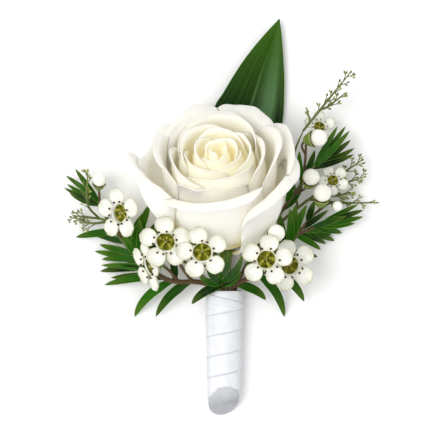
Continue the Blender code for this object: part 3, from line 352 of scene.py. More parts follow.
@dataclass(frozen=True)
class TwigFinish(Finish):
    """Twig or stalk, grown: green skin that turns woody toward the binding."""

    woody: str = "#5b4120"
    green: str = "#5d7238"
    roughness: float = 0.6

    def build(self) -> bpy.types.Material:
        """Make it woody at the foot and green at the tip, patch by patch between them.

        Returns:
            The material.
        """
        made, nodes = self.start()
        _, along = nodes.surface()
        patch = nodes.add("Math", {"operation": "ADD"}, {0: along, 1: nodes.spots(2.5)})
        patch = nodes.add("Math", {"operation": "MULTIPLY"}, {0: patch, 1: 0.5})
        colour = nodes.add("ValToRGB", Fac=patch, stops=((0.52, self.woody), (0.72, self.green)))
        colour = nodes.darkened(colour, 0.5, nodes.spots(0.7), (0.3, "#a39a86"), (0.7, WHITE))
        bump = nodes.add("Bump", Height=nodes.spots(0.6), Strength=0.4, Distance=0.3 * MM)
        # a fine deep relief breaks the highlight up, so the twig reads as bark
        self.dress(nodes, Base_Color=colour, Normal=bump, Roughness=self.roughness)
        return made


@dataclass(frozen=True)
class CupFinish(Finish):
    """Waxflower cup, grown: green outside, with an olive star in its glazed disc."""

    outside: str = "#6f8a3f"
    disc: str = "#6f7210"
    star: str = "#b6b04a"
    dark: str = "#454a12"
    rays: int = 5

    def build(self) -> bpy.types.Material:
        """Make it by the turn round the cup and by the way from foot over rim to middle.

        Returns:
            The material.
        """
        made, nodes = self.start()
        across, along = nodes.surface()
        turn = nodes.add("Math", {"operation": "MULTIPLY"}, {0: across, 1: self.rays * 2 * math.pi})
        star = nodes.add("Math", {"operation": "COSINE"}, {0: turn})
        disc = nodes.add("ValToRGB", Fac=star, stops=((0.1, self.disc), (0.95, self.star)))
        disc = nodes.darkened(disc, 0.8, nodes.spots(0.9), (0.36, self.dark), (0.56, WHITE))
        outer = nodes.add("ValToRGB", Fac=along, stops=((0.0, "#8d9c4f"), (0.35, self.outside),
                                                        (0.52, "#b9bf82")))
        colour = nodes.painted(outer, disc, along, (0.44, BLACK), (0.47, WHITE))
        bump = nodes.add("Bump", Height=nodes.spots(0.6), Strength=0.3, Distance=0.3 * MM)
        # the mottled star reads dark and wet, with no broad shine that would grey it
        self.dress(nodes, Base_Color=colour, Normal=bump, Roughness=0.5, Specular_IOR_Level=0.08)
        return made


@dataclass(frozen=True)
class SatinFinish(Finish):
    """Polyester satin ribbon, woven: long floats give a soft streaked sheen."""

    cloth: str = "#ebecf0"
    shade: str = "#d6d8df"
    side: str = "#dcdde0"
    side_from_mm: float = 5.5
    side_to_mm: float = 9.5
    ribbon_mm: float = 9.0
    thread_mm: float = 0.35     # real threads are finer: drawn as coarse as they show

    def build(self) -> bpy.types.Material:
        """Make it threaded along the ribbon, a shade darker along both edges of the strip and with painted
        shade low on its sides.

        Returns:
            The material.
        """
        made, nodes = self.start()
        across, _ = nodes.surface()
        turns = 2 * math.pi * self.ribbon_mm / self.thread_mm
        threads = nodes.add("Math", {"operation": "MULTIPLY"}, {0: across, 1: turns})
        threads = nodes.add("Math", {"operation": "SINE"}, {0: threads})
        # the strip is a shade darker along both its edges
        colour = nodes.add("ValToRGB", Fac=nodes.inward(across),
                           stops=((0.0, self.shade), (0.07, self.cloth)))
        colour = nodes.darkened(colour, 0.35, nodes.spots(3.0), (0.3, "#dfe1ea"), (0.7, WHITE))
        # painted shade: the sides and the back, low on the sleeve and turned from the light, are a shade
        # greyer
        height = nodes.add("SeparateXYZ", links={0: nodes.place()}, out=2)
        low = nodes.add("MapRange", Value=height, From_Min=self.side_from_mm * MM,
                        From_Max=self.side_to_mm * MM)
        colour = nodes.darkened(colour, 1.0, low, (0.0, self.side), (1.0, WHITE))
        soft = nodes.add("Math", {"operation": "MULTIPLY"}, {0: nodes.spots(1.8), 1: 4.0})
        height = nodes.add("Math", {"operation": "ADD"}, {0: threads, 1: soft})
        bump = nodes.add("Bump", Height=height, Strength=0.2, Distance=0.12 * MM)
        # a drawn-out highlight and a low sheen are what tells satin from paper
        self.dress(nodes, Base_Color=colour, Normal=bump, Roughness=0.42, Anisotropic=0.5,
                   Sheen_Weight=0.35, Sheen_Roughness=0.35)
        return made


@dataclass(frozen=True)
class PlainFinish(Finish):
    """A small part in one colour with fine mottling: husk, anther, filament or paper tape."""

    light: str
    dark: str
    roughness: float = 0.7
    grain_mm: float = 0.8

    def build(self) -> bpy.types.Material:
        """Make it lighter or darker by each piece's tint and by its grain.

        Returns:
            The material.
        """
        made, nodes = self.start()
        tone = nodes.add("ValToRGB", Fac=nodes.tint(), stops=((0.0, self.dark), (1.0, self.light)))
        grain = nodes.spots(self.grain_mm)
        colour = nodes.darkened(tone, 0.6, grain, (0.3, "#9c9c9c"), (0.7, WHITE))
        bump = nodes.add("Bump", Height=grain, Strength=0.3, Distance=0.3 * MM)
        # dry and matt: only the grain's relief catches the light
        self.dress(nodes, Base_Color=colour, Normal=bump, Roughness=self.roughness)
        return made


# Meshes --------------------------------------------------------------------------------

def array(points: Iterable[Point]) -> np.ndarray:
    """Return points as an array of floats."""
    return np.array([tuple(p) for p in points], float)


def unit(ways: np.ndarray) -> np.ndarray:
    """Return one or many directions brought to a length of one."""
    shortest = 1e-9
    return ways / np.maximum(np.linalg.norm(ways, axis=-1, keepdims=True), shortest)


def round_about(count: int) -> np.ndarray:
    """Return angles spaced evenly round a full turn."""
    return np.linspace(0, 2 * math.pi, count, endpoint=False)


def polar(radius: np.ndarray | float, angle: np.ndarray, height: np.ndarray | float) -> np.ndarray:
    """Return points round +Z from their radius, angle and height."""
    return np.stack(np.broadcast_arrays(radius * np.cos(angle), radius * np.sin(angle), height), -1)


def catmull(points: np.ndarray, share: np.ndarray | float) -> np.ndarray:
    """Read a smooth curve through the given points.

    Args:
        points: The points that it passes through, one a row.
        share: Place along the curve from 0 to 1, one or many.

    Returns:
        The points at those places.
    """
    last = len(points) - 1
    place = np.clip(np.asarray(share, float), 0.0, 1.0) * last
    index = np.minimum(place.astype(int), last - 1)
    f = (place - index)[..., None]
    padded = np.vstack([2 * points[0] - points[1], points, 2 * points[-1] - points[-2]])
    a, b, c, d = (padded[index + k] for k in range(4))
    return 0.5 * (2 * b + (c - a) * f + (2 * a - 5 * b + 4 * c - d) * f ** 2
                  + (3 * b - a - 3 * c + d) * f ** 3)


def smooth(points: Iterable[Point], count: int) -> np.ndarray:
    """Return count points along the smooth curve through the given ones."""
    return catmull(array(points), np.linspace(0, 1, count))


def turn_to(way: Point) -> Matrix:
    """Find the rotation that carries +Z onto a direction.

    Args:
        way: The direction.

    Returns:
        Its rows are where X, Y and Z go.
    """
    z = Vector(way).normalized()
    steep = 0.98
    hint = Vector((0, 1, 0)) if abs(z.z) > steep else Vector(UP)
    x = hint.cross(z).normalized()
    return Matrix((x, z.cross(x), z))


def aimed(place: Point, way: Point) -> Matrix:
    """Return the placement at a point whose +Z looks a given way."""
    return Matrix.Translation(Vector(place)) @ turn_to(way).transposed().to_4x4()


def placed(points: np.ndarray, place: Matrix) -> np.ndarray:
    """Carry points in any grid by a placement in millimetres."""
    matrix = np.array(place)
    return points @ matrix[:3, :3].T + matrix[:3, 3]


class Form:
    """Points in millimetres with faces, surface coordinates and a tint, built up shell by shell."""

    def __init__(self) -> None:
        """Start empty."""
        self.points: list[np.ndarray] = []
        self.coords: list[np.ndarray] = []
        self.tints: list[np.ndarray] = []
        self.faces: list[tuple[int, ...]] = []
        self.count = 0

    def shell(self, points: np.ndarray, faces: Iterable[Sequence[int]], coords: np.ndarray,
              tint: float) -> None:
        """Add one closed shell.

        Args:
            points: Its points in millimetres.
            faces: Its faces, numbered from its own first point.
            coords: The two surface coordinates of each point.
            tint: One number from 0 to 1 for the whole shell.
        """
        self.points.append(points)
        self.coords.append(coords)
        self.tints.append(np.full(len(points), tint))
        self.faces += [tuple(i + self.count for i in face) for face in faces]
        self.count += len(points)

    def plate(self, middle: np.ndarray, thickness: np.ndarray | float, tint: float) -> None:
        """Add a thin sheet with two faces and a rim.

        Args:
            middle: Grid of middle points, rows along and columns across.
            thickness: Thickness at each point, or one for all.
            tint: One number for the whole sheet.
        """
        rows, columns = middle.shape[:2]
        normal = unit(np.cross(np.gradient(middle, axis=1), np.gradient(middle, axis=0)))
        half = np.broadcast_to(thickness, (rows, columns))[..., None] / 2
        count = rows * columns
        index = np.arange(count).reshape(rows, columns)
        a, b, c, d = index[:-1, :-1], index[:-1, 1:], index[1:, 1:], index[1:, :-1]
        top = np.stack([a, b, c, d], -1).reshape(-1, 4)
        low = np.stack([a, d, c, b], -1).reshape(-1, 4) + count
        loop = np.concatenate([index[0, :-1], index[:-1, -1], index[-1, :0:-1], index[:0:-1, 0]])
        after = np.roll(loop, -1)
        rim = np.stack([loop, loop + count, after + count, after], -1)
        u, v = np.meshgrid(np.linspace(0, 1, columns), np.linspace(0, 1, rows))
        coords = np.stack([u.ravel(), v.ravel()], -1)
        points = np.concatenate([middle + normal * half, middle - normal * half]).reshape(-1, 3)
        self.shell(points, np.vstack([top, low, rim]).tolist(), np.vstack([coords, coords]), tint)

    def loft(self, rings: np.ndarray, tint: float, closed: bool = False) -> None:
        """Add a body from rings of points.

        Args:
            rings: Rows of rings, each an equal number of points round.
            tint: One number for the whole body.
            closed: True if the last ring joins the first, as in a hoop.
        """
        count, sides = rings.shape[:2]
        index = np.arange(count * sides).reshape(count, sides)
        below = index if closed else index[:-1]
        above = np.roll(index, -1, axis=0) if closed else index[1:]
        faces = np.stack([below, np.roll(below, -1, axis=1), np.roll(above, -1, axis=1), above], -1)
        made = faces.reshape(-1, 4).tolist()
        if not closed:
            made += [index[0, ::-1].tolist(), index[-1].tolist()]
        coords = np.stack([np.tile(np.arange(sides) / sides, count),
                           np.repeat(np.linspace(0, 1, count), sides)], -1)
        self.shell(rings.reshape(-1, 3), made, coords, tint)

    def tube(self, route: Iterable[Point], radii: Sequence[float], sides: int, steps: int,
             tint: float = 0.0, rough: float = 0.0) -> None:
        """Add a round stem along a smooth route.

        Args:
            route: Points that it passes through.
            radii: Its radius, read evenly along the route.
            sides: Sides of its section.
            steps: Rings for each space of the route.
            tint: One number for the whole stem.
            rough: How far its skin swells in and out, as a share of its radius.
        """
        points = array(route)
        total = steps * (len(points) - 1)
        line = smooth(points, total + 1)
        width = smooth([(r, 0) for r in radii], total + 1)[:, 0]
        ahead = unit(np.gradient(line, axis=0))
        side = np.array(turn_to(ahead[0])[0])
        angle = round_about(sides)
        rings = []
        for i in range(total + 1):
            side = unit(side - ahead[i] * side.dot(ahead[i]))
            # three low swellings round the stem wander from ring to ring, so no two rings match
            swell = 1 + rough * np.sin(3 * angle + 2.1 * i) * math.sin(1.7 * i + total)
            around = (np.outer(np.cos(angle) * swell, side)
                      + np.outer(np.sin(angle) * swell, np.cross(ahead[i], side)))
            rings.append(line[i] + around * width[i])
        self.loft(np.array(rings), tint)

    def turned(self, line: Iterable[Point], sides: int, place: Matrix, tint: float = 0.0,
               closed: bool = False) -> None:
        """Add a body turned round +Z.

        Args:
            line: Radius and height pairs from the outside foot to the middle.
            sides: Sides of the turning.
            place: Placement in millimetres.
            tint: One number for the whole body.
            closed: True if the line is a loop, as for a hoop.
        """
        rings = np.array([polar(r, round_about(sides), h) for r, h in line])
        self.loft(placed(rings, place), tint, closed)

    def leaf(self, root: Point, tip: Point, width: float, bow: Point = (0, 0, 0), face: Point = UP,
             fold: float = 0.22, thickness: float = 0.42, tint: float = 0.0, twist: float = 0.0) -> None:
        """Add a narrow pointed leaf folded at its midrib.

        Args:
            root: Its root.
            tip: Its tip.
            width: Its greatest width.
            bow: How far its middle is carried aside.
            face: The way its upper face looks.
            fold: Rise of the edges over the midrib for each millimetre out.
            thickness: Greatest thickness.
            tint: One number for the whole leaf.
            twist: Turn of the tip about the leaf's length, in radians.
        """
        across, along = 6, 14
        t = np.linspace(0, 1, along + 1)[:, None]
        root, tip = np.array(root, float), np.array(tip, float)
        middle = (root + tip) / 2 + np.array(bow, float)
        line = root * (1 - t) ** 2 + middle * 2 * t * (1 - t) + tip * t ** 2
        ahead = unit((middle - root) * (1 - t) + (tip - middle) * t)
        side = unit(np.cross(ahead, np.array(face, float)))
        lift = np.cross(side, ahead)
        turn = twist * t
        side, lift = side * np.cos(turn) + lift * np.sin(turn), lift * np.cos(turn) - side * np.sin(turn)
        # it widens fast from a narrow foot, keeps its width and is then drawn out to a point
        foot, widening, fullness, point = 0.42, 2.2, 1.08, 0.03
        half = width / 2 * np.minimum(1.0, foot + widening * t) * np.maximum(1 - t ** 4, 0.0) ** 0.8
        half = half * fullness + point
        u = np.linspace(-1, 1, across + 1)
        out = u[:, None] * half[:, None]
        grid = line[:, None] + side[:, None] * out + lift[:, None] * (fold * np.abs(out))
        grid[..., 2] = np.maximum(grid[..., 2], thickness / 2)
        thin_edge, thin_tip = 0.65, 0.6
        self.plate(grid, thickness * (1 - thin_edge * u ** 2) * (1 - thin_tip * t), tint)

    def piece(self, name: str, finish: bpy.types.Material, slot: Slot, node: str) -> bpy.types.Object:
        """Make the object, ride it on the body and let it stand for its solid.

        Args:
            name: Name of the piece.
            finish: Its material.
            slot: The record's finish that it would take; not used.
            node: The solid that it stands for.

        Returns:
            The new object.
        """
        mesh = bpy.data.meshes.new(name)
        mesh.from_pydata((np.vstack(self.points) * MM).tolist(), [], self.faces)
        loops = np.empty(len(mesh.loops), np.int64)
        mesh.loops.foreach_get("vertex_index", loops)
        surface = np.vstack(self.coords)[loops]
        starts, totals = (np.empty(len(mesh.polygons), np.int64) for _ in range(2))
        mesh.polygons.foreach_get("loop_start", starts)
        mesh.polygons.foreach_get("loop_total", totals)
        # a face that closes a ring reads on past 1 across, and not back to 0
        face_of = np.repeat(np.arange(len(starts)), totals)
        widest = np.maximum.reduceat(surface[:, 0], starts)[face_of]
        surface[(widest - surface[:, 0] > 0.5) & (totals[face_of] == 4), 0] += 1.0
        layer = mesh.uv_layers.new(name="surface")
        layer.data.foreach_set("uv", surface.ravel().astype(np.float32))
        tint = mesh.attributes.new("tint", "FLOAT", "POINT")
        tint.data.foreach_set("value", np.concatenate(self.tints).astype(np.float32))
        mesh.shade_smooth()
        mesh.materials.append(finish)
        mesh.validate()
        made = bpy.data.objects.new(name, mesh)
        bpy.context.scene.collection.objects.link(made)
        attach(made, BODY)
        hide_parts(node)
        LOG.info("%s: %d faces", name, len(self.faces))
        return made


# Rose ----------------------------------------------------------------------------------

@dataclass(frozen=True)
class RosePetal:
    """One petal as a shell round the bloom's axis; 270 degrees is the front.

    line holds (radius, height) from root to crest, curl the radius and sweep of the rolled
    lip and flap the hem that hangs from it, longest on the left; corner is the height left
    at the side edges; lean tips the rim, slant and hug carry the side edges inward and roll
    turns the left side edge outward.
    """

    turn: float
    half: float
    line: tuple[Point, ...]
    curl: tuple[float, float] = (2.5, 80)
    corner: float = 0.5
    lean: float = 0.0
    slant: float = 0.0
    hug: float = 0.0
    flap: float = 0.0
    roll: float = 0.0
    warmth: float = 0.0

    def profile(self, t: np.ndarray, u: float, more: float) -> np.ndarray:
        """Return radius and height along the column at u.

        Args:
            t: Shares of the way from root to lip.
            u: Place across, from -1 to 1.
            more: Share by which the lip rolls further here than elsewhere.

        Returns:
            One radius and height for each share.
        """
        points = array(self.line)
        side_fade, hem_slant = 0.7, 0.6
        fade = 1 - side_fade * abs(u) ** 3
        radius, sweep = self.curl[0], math.radians(self.curl[1] * fade * (1 + more))
        hem = self.flap * fade * (1 - hem_slant * u)
        length = float(np.linalg.norm(np.diff(points, axis=0), axis=1).sum())
        way = t * (length + radius * sweep + hem)
        body = catmull(points, np.minimum(way / length, 1.0))
        # the lip rolls over in an arc from where the body ends, and the hem hangs on from the arc
        ahead = catmull(points, 1.0) - catmull(points, 0.97)
        angle = math.atan2(ahead[1], ahead[0])
        rolled = angle - np.clip((way - length) / radius, 0, sweep)
        cos, sin = np.cos(rolled), np.sin(rolled)
        hang = np.maximum(way - length - radius * sweep, 0)[:, None]
        arc = points[-1] + radius * np.stack([math.sin(angle) - sin, cos - math.cos(angle)], -1)
        return np.where((way <= length)[:, None], body, arc + hang * np.stack([cos, sin], -1))

    def grid(self, across: int, up: int, ruffle: float, rng: random.Random) -> np.ndarray:
        """Return the grid of middle points.

        Args:
            across: Spaces across.
            up: Spaces from root to lip.
            ruffle: Height of the waves in the rim, in millimetres.
            rng: Source of the waves.

        Returns:
            Rows from root to lip of points in the bloom's frame.
        """
        closer_to_lip, side_edge, tip_width, drawn_in, lip_roll = 1.35, 0.985, 0.16, 0.55, 0.7
        t = 1 - (1 - np.linspace(0, 1, up + 1)) ** closer_to_lip
        root = np.array(self.line[0], float)
        waves = [(rng.uniform(1.5, 5.5), rng.uniform(0, 6.3), rng.uniform(0.4, 1.0)) for _ in range(3)]
        full_from = 1 / 1.4
        rise = np.minimum(1.0, t / full_from)
        ease = rise * rise * (3 - 2 * rise)
        columns = []
        for even in np.linspace(-1, 1, across + 1):
            # columns stand closer together toward the side edges, where the outline turns
            u = side_edge * (math.sin(math.pi / 2 * even) + even) / 2
            wave = sum(size * math.sin(pitch * u + phase) for pitch, phase, size in waves) / 3
            place = self.profile(t, u, lip_roll * ruffle * wave)
            outline = self.corner + (1 - self.corner) * (1 - abs(u) ** 3) ** 0.4
            keep = 1 + (outline * (1 + self.lean * u) - 1) * ease
            radius = root[0] + (place[:, 0] - root[0]) * (1 + (keep - 1) * drawn_in)
            height = root[1] + (place[:, 1] - root[1]) * keep
            radius = radius * (1 - self.hug * u * u * t) + self.slant * u * t + ruffle * wave * t ** 3
            # a small point in the middle of the rim, and a fine uneven edge beside it
            tip = 0.7 * math.sin(2.7 * u + waves[0][1]) + math.exp(-(u / tip_width) ** 2)
            fray = 0.4 * math.sin(9 * u + waves[1][1]) + 0.22 * math.sin(21 * u + waves[2][1])
            height = height + ruffle * (tip * t ** 4 + fray * t ** 6)
            turned_out = max(0.0, (-u - 0.5) / 0.5) ** 2 * self.roll * rise
            radius = radius + turned_out
            angle = math.radians(self.turn + self.half * u) + 0.8 * turned_out / radius
            columns.append(polar(radius, angle, height))
        return np.stack(columns, axis=1)


GUARD_PETALS = (
    RosePetal(186, 33, ((10.5, 3.5), (20, 12), (26.6, 24), (26.2, 34.4)), (3.4, 105), 0.55, 0.10, -6.5),
    RosePetal(335, 54, ((10.5, 2.5), (17, 8.8), (21.3, 20.8), (22, 31.2)), (2.7, 140), 0.42, 0.06, 2.6,
              roll=3.2),
    RosePetal(16, 38, ((10.5, 3.5), (18, 12), (22.6, 24), (23.8, 34.6)), (4.6, 82), 0.5),
    RosePetal(62, 46, ((10.5, 4.5), (17, 13), (20.4, 26), (21.4, 35.6)), (4.4, 80), 0.5),
    RosePetal(112, 50, ((10.5, 5.5), (16.5, 14), (19.6, 26), (20.2, 35.8)), (4.2, 85), 0.5),
    RosePetal(152, 44, ((10.5, 4.5), (19, 12), (24.0, 23), (25.0, 31.6)), (4.2, 88), 0.5),
)
CUP_PETALS = (
    RosePetal(262, 62, ((11.5, 7), (17, 13.8), (19.4, 23.8), (18.6, 32.2)), (3.0, 118), 0.75, 0.14,
              -0.6, flap=2.0, warmth=0.1),
    RosePetal(8, 46, ((11.5, 8), (16.2, 15.8), (19.0, 27.2), (19.6, 37.9)), (2.3, 80), 0.6, 0.03, 1.5,
              warmth=0.15),
    RosePetal(176, 40, ((11.5, 8), (16.4, 15.8), (18.6, 27.2), (18.9, 38.9)), (2.2, 78), 0.6, 0.0,
              -2.0, warmth=0.15),
    RosePetal(100, 62, ((11.5, 9), (15.9, 17.8), (18.2, 28.2), (18.4, 38.7)), (2.2, 78), 0.6,
              warmth=0.2),
    RosePetal(8, 58, ((11.5, 13), (14.8, 20), (15.6, 30), (14.8, 38.4)), (1.5, 78), 0.65, warmth=0.35),
    RosePetal(90, 84, ((11.5, 15), (14.6, 22), (16.4, 32.6), (16.4, 40.2)), (1.5, 78), 0.75, 0.0, 0.0,
              0.22, warmth=0.35),
    RosePetal(204, 56, ((11.5, 12), (14.6, 20), (15.8, 31), (15.3, 39.4)), (1.5, 78), 0.65, warmth=0.35),
    RosePetal(262, 58, ((11.5, 11), (15, 18), (16.0, 28), (15.3, 36.0)), (1.7, 80), 0.7, 0.03, -1.2,
              warmth=0.3),
)


@dataclass(frozen=True)
class Rose:
    """The bloom with its stem: petals in layers, hip, sepals and stem."""

    base: Point = (0.6, 37.6, 8.0)
    axis: Point = (-0.075, 0.72, 0.69)
    thickness: float = 0.5
    core: tuple[Point, ...] = ((3.0, 0.5), (7.2, 1.8), (10.4, 4.4), (12.0, 8), (12.6, 13), (12.0, 19),
                               (10.0, 24.5), (7.0, 28.3), (3.8, 30.2), (0.5, 30.6))
    spiral_count: int = 12
    spiral_turn: float = 137.5
    spiral_start: float = 205.0
    spiral_inner: float = 2.2
    spiral_outer: float = 13.0
    eye_height: float = 42.2
    hip: tuple[Point, ...] = ((1.5, -7.0), (2.3, -6.5), (3.0, -5.4), (3.6, -3.6), (3.4, -1.6), (2.9, -0.3),
                              (1.0, 0.0))
    stem_radius: float = 1.6
    stem_route: tuple[Point, ...] = ((1.15, 31.2, 2.75), (0.9, 28, 2.5), (0.5, 23, 4.1), (0.1, 18.4, 5.5),
                                     (0, 16.6, 5.6), (0, 15.2, 5.6), (0, -8, 5.6))
    sepals: int = 5
    sepal_width: float = 4.4
    seed: int = 12

    def spiral(self) -> tuple[RosePetal, ...]:
        """Set out the inner petals, each turned past the last and a little further out.

        Returns:
            The petals, from the heart outward.
        """
        made = []
        for i in range(self.spiral_count):
            share = i / (self.spiral_count - 1)
            turn = (self.spiral_start + i * self.spiral_turn) % 360
            radius = self.spiral_inner + (self.spiral_outer - self.spiral_inner) * share
            front = max(0.0, -math.sin(math.radians(turn)))
            # the heart is domed, and lower in front where one looks into it
            height = self.eye_height - 0.06 * radius - 0.14 * radius * front
            line = ((radius * 0.95, height - 16), (radius * 1.03 + 0.9, height - 7), (radius, height - 1))
            made.append(RosePetal(turn, 80 - 14 * share, line, (0.8 + 0.7 * share, 60 + 20 * share), 0.7,
                                  slant=-0.7, warmth=0.95 - 0.5 * share))
        return tuple(made)

    def place(self) -> Matrix:
        """Set the bloom on its stem, facing up and a little toward the long leaf's tip.

        Returns:
            Its placement in millimetres.
        """
        z = Vector(self.axis).normalized()
        x = (Vector((1, 0, 0)) - z * z.x).normalized()
        return Matrix.Translation(Vector(self.base)) @ Matrix((x, z.cross(x), z)).transposed().to_4x4()

    def petals(self) -> Form:
        """Make all petals, each a thin shell whose edge is thinner than its middle.

        Returns:
            The petals and the closed core that they stand round.
        """
        rng = random.Random(self.seed)
        form = Form()
        # each layer with its spaces across and up, and the height of the waves in its rims
        layers = ((GUARD_PETALS, 34, 30, 0.85), (CUP_PETALS, 34, 28, 0.6), (self.spiral(), 26, 16, 0.35))
        for petals, across, up, ruffle in layers:
            u = np.linspace(-1, 1, across + 1)
            v = np.linspace(0, 1, up + 1)[:, None]
            thin = self.thickness * (1 - 0.55 * v ** 6) * (1 - 0.5 * u ** 6)
            for petal in petals:
                grid = placed(petal.grid(across, up, ruffle, rng), self.place())
                form.plate(grid, thin, min(1.0, petal.warmth * 1.1))
        form.turned(smooth(self.core, 28), 48, self.place(), 1.0)
        return form

    def stem(self) -> tuple[Form, Form]:
        """Make what carries the bloom.

        Returns:
            The stem with its hip, and the sepals under the bloom.
        """
        stem, sepals = Form(), Form()
        place = self.place()
        stem.turned(smooth(self.hip, 20), 28, place)
        inside_hip = place @ Vector((0, 0, -5))
        stem.tube([inside_hip, *self.stem_route], (1.5,) + (self.stem_radius,) * 7, 18, 5, rough=0.03)
        turn = np.array(place.to_3x3())
        up = np.array(UP)
        for angle in math.radians(270) + round_about(self.sepals):
            out = np.array([math.cos(angle), math.sin(angle), 0])
            root, tip = placed(out * 2.6 - up * 1.3, place), placed(out * 13.0 + up * 2.4, place)
            bow, face = turn @ (out * 1.2 - up * 2.6), turn @ (up - out * 0.2)
            sepals.leaf(root, tip, self.sepal_width, bow, face, 0.12, 0.5, 0.5)
        return stem, sepals

    def build(self) -> None:
        """Make and dress the bloom, its stem and its sepals."""
        white = RosePetalFinish("rose petal, matt").build()
        green = TwigFinish("rose stem, green", woody="#7a7a45", green="#6c8a3e", roughness=0.45).build()
        sepal = LeafFinish("rose sepal, matt", deep="#5f7c38", fresh="#7f9a4c", edge="#a5b478",
                           tip="#8fa05a", blade_mm=4.5, vein_mm=1.5, roughness=0.5).build()
        self.petals().piece("rose_petals_fine", white, Slot.PETAL, "rose_petals")
        stem, sepals = self.stem()
        stem.piece("rose_stem_fine", green, Slot.STEM, "rose_stem")
        sepals.piece("rose_sepals", sepal, Slot.STEM, "rose_stem")


# Binding of the stems ------------------------------------------------------------------

@dataclass(frozen=True)
class Binding:
    """Where each stem stands in the taped bundle inside the handle."""

    reach: float = 3.35
    axis_z: float = 5.6
    straight: tuple[float, ...] = (-8.0, 15.4, 17.4)

    def rooted(self, angle: float, route: Iterable[Point]) -> list[Point]:
        """Return the route of a stem that stands in the bundle and then runs free.

        Args:
            angle: Its place round the bundle, in degrees.
            route: Its own points beyond the bundle.

        Returns:
            All points in order.
        """
        turn = math.radians(angle)
        x, z = self.reach * math.cos(turn), self.axis_z + self.reach * math.sin(turn)
        return [(x, y, z) for y in self.straight] + list(route)

    def build(self) -> None:
        """Dress the taped bundle, which is seen only inside the mouth of the ribbon."""
        tape = PlainFinish("floral tape, crepe paper", "#6f8a4c", "#56703c", grain_mm=0.6).build()
        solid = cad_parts["stem_binding"]
        solid.data.materials.clear()
        solid.data.materials.append(tape)


BINDING = Binding()


# Waxflowers and buds -------------------------------------------------------------------

@dataclass(frozen=True)
class Flower:
    """An open waxflower: the middle of its cup's rim, the way it faces, its spin and size."""

    name: str
    place: Point
    facing: Point
    spin: float
    size: float = 1.0
    ring: tuple[float, float] = (2.9, 3.9)
    reach: float = 6.0
    radius: float = 3.15
    depth: float = 4.2
    gap: float = 0.35
    petal_count: int = 5
    petal_thickness: float = 0.5
    petal_hollow: float = 1.35
    crinkle: float = 0.14
    anther_count: int = 10
    anther_radius: float = 0.4
    anther_height: float = 1.7
    thread_foot: tuple[float, float] = (3.3, 0.8)

    def matrix(self) -> Matrix:
        """Return its placement in millimetres."""
        spin = Matrix.Rotation(math.radians(self.spin), 4, "Z")
        return aimed(self.place, self.facing) @ spin @ Matrix.Scale(self.size, 4)

    def root(self) -> Point:
        """Return the point inside the foot of the cup where its stalk ends."""
        return tuple(self.matrix() @ Vector((0, 0, -self.depth * 0.75)))

    def petals(self, form: Form, rng: random.Random) -> None:
        """Add the ring and the five cupped petals.

        Args:
            form: The mesh that they join.
            rng: Source of the small differences between petals.
        """
        place = self.matrix()
        low = self.gap / 2 / self.size
        middle, half = sum(self.ring) / 2 - 0.05, (self.ring[1] - self.ring[0]) / 2 - 0.2
        loop = [(middle + half * math.cos(a), low + 0.4 + 0.38 * math.sin(a)) for a in round_about(10)]
        form.turned(loop, 40, place, 0.0, True)
        a = math.pi * np.linspace(0.14, 0.97, 17)[:, None]
        u = np.sin(math.pi / 2 * np.linspace(-1, 1, 15))
        for k in range(self.petal_count):
            turn = 2 * math.pi * (k + 0.1) / self.petal_count + rng.uniform(-0.05, 0.05)
            cup, dip = rng.uniform(0.75, 1.15), rng.uniform(-0.12, 0.12)
            size = self.radius * rng.uniform(0.97, 1.04)
            # a round petal about the middle at reach, hollow like a spoon and crinkled at its rim
            x = -size * np.cos(a) * (1 - 0.12 * u ** 2 * (a / math.pi))
            y = size * np.sin(a) ** 0.9 * u
            far = (x ** 2 + y ** 2) / size ** 2
            wave = self.crinkle * np.sin(5 * np.arctan2(y, x) + 6 * k) * far ** 2
            z = self.gap + low + cup * self.petal_hollow * far ** 1.25 + (0.3 * x + dip * y) / size + wave
            x = x + self.reach
            x, y = x * math.cos(turn) - y * math.sin(turn), x * math.sin(turn) + y * math.cos(turn)
            thin = self.petal_thickness * (1 - 0.55 * np.clip(far, 0, 1) ** 2)
            form.plate(placed(np.stack([x, y, z], -1), place), thin, rng.random())

    def cup(self, form: Form) -> None:
        """Add the green cup with its glazed disc.

        Args:
            form: The mesh that it joins.
        """
        low = -self.gap / 2 / self.size
        line = ((0.6, -4.3), (1.3, -3.9), (2.2, -2.8), (2.8, -1.5), (3.12, -0.5), (3.15, low - 0.02),
                (2.85, low + 0.02), (2.6, low - 0.25), (2.35, -0.8), (1.9, -1.1), (1.3, -1.12),
                (0.7, -0.95), (0.1, -0.85))
        form.turned(smooth(line, 36), 40, self.matrix())

    def anthers(self, dots: Form, threads: Form, rng: random.Random) -> None:
        """Add ten dark anthers on short threads, and the style in the middle.

        Args:
            dots: The mesh of the anthers.
            threads: The mesh of the threads.
            rng: Source of their small differences.
        """
        place = self.matrix()
        ball = [(self.anther_radius * math.sin(a), -self.anther_radius * math.cos(a))
                for a in np.linspace(0.25, math.pi - 0.25, 7)]
        for k in range(self.anther_count):
            angle = 2 * math.pi * (k + rng.uniform(-0.2, 0.2)) / self.anther_count
            out = rng.uniform(3.8, 4.5)
            foot = polar(self.thread_foot[0], angle, self.thread_foot[1])
            head = polar(out, angle, self.anther_height + rng.uniform(-0.1, 0.3))
            bend = (foot + head) / 2 + (0, 0, 0.1)
            threads.tube([placed(p, place) for p in (foot, bend, head)], (0.16, 0.13, 0.1), 6, 3, 0.9)
            at_head = Matrix.Translation(Vector(placed(head, place))) @ Matrix.Scale(self.size, 4)
            dots.turned(ball, 10, at_head, rng.random())
        style = [placed(np.array([0.0, 0.0, h]), place) for h in (-1.0, 0.2, 1.3)]
        threads.tube(style, (0.24, 0.16, 0.13), 8, 3, 0.7)


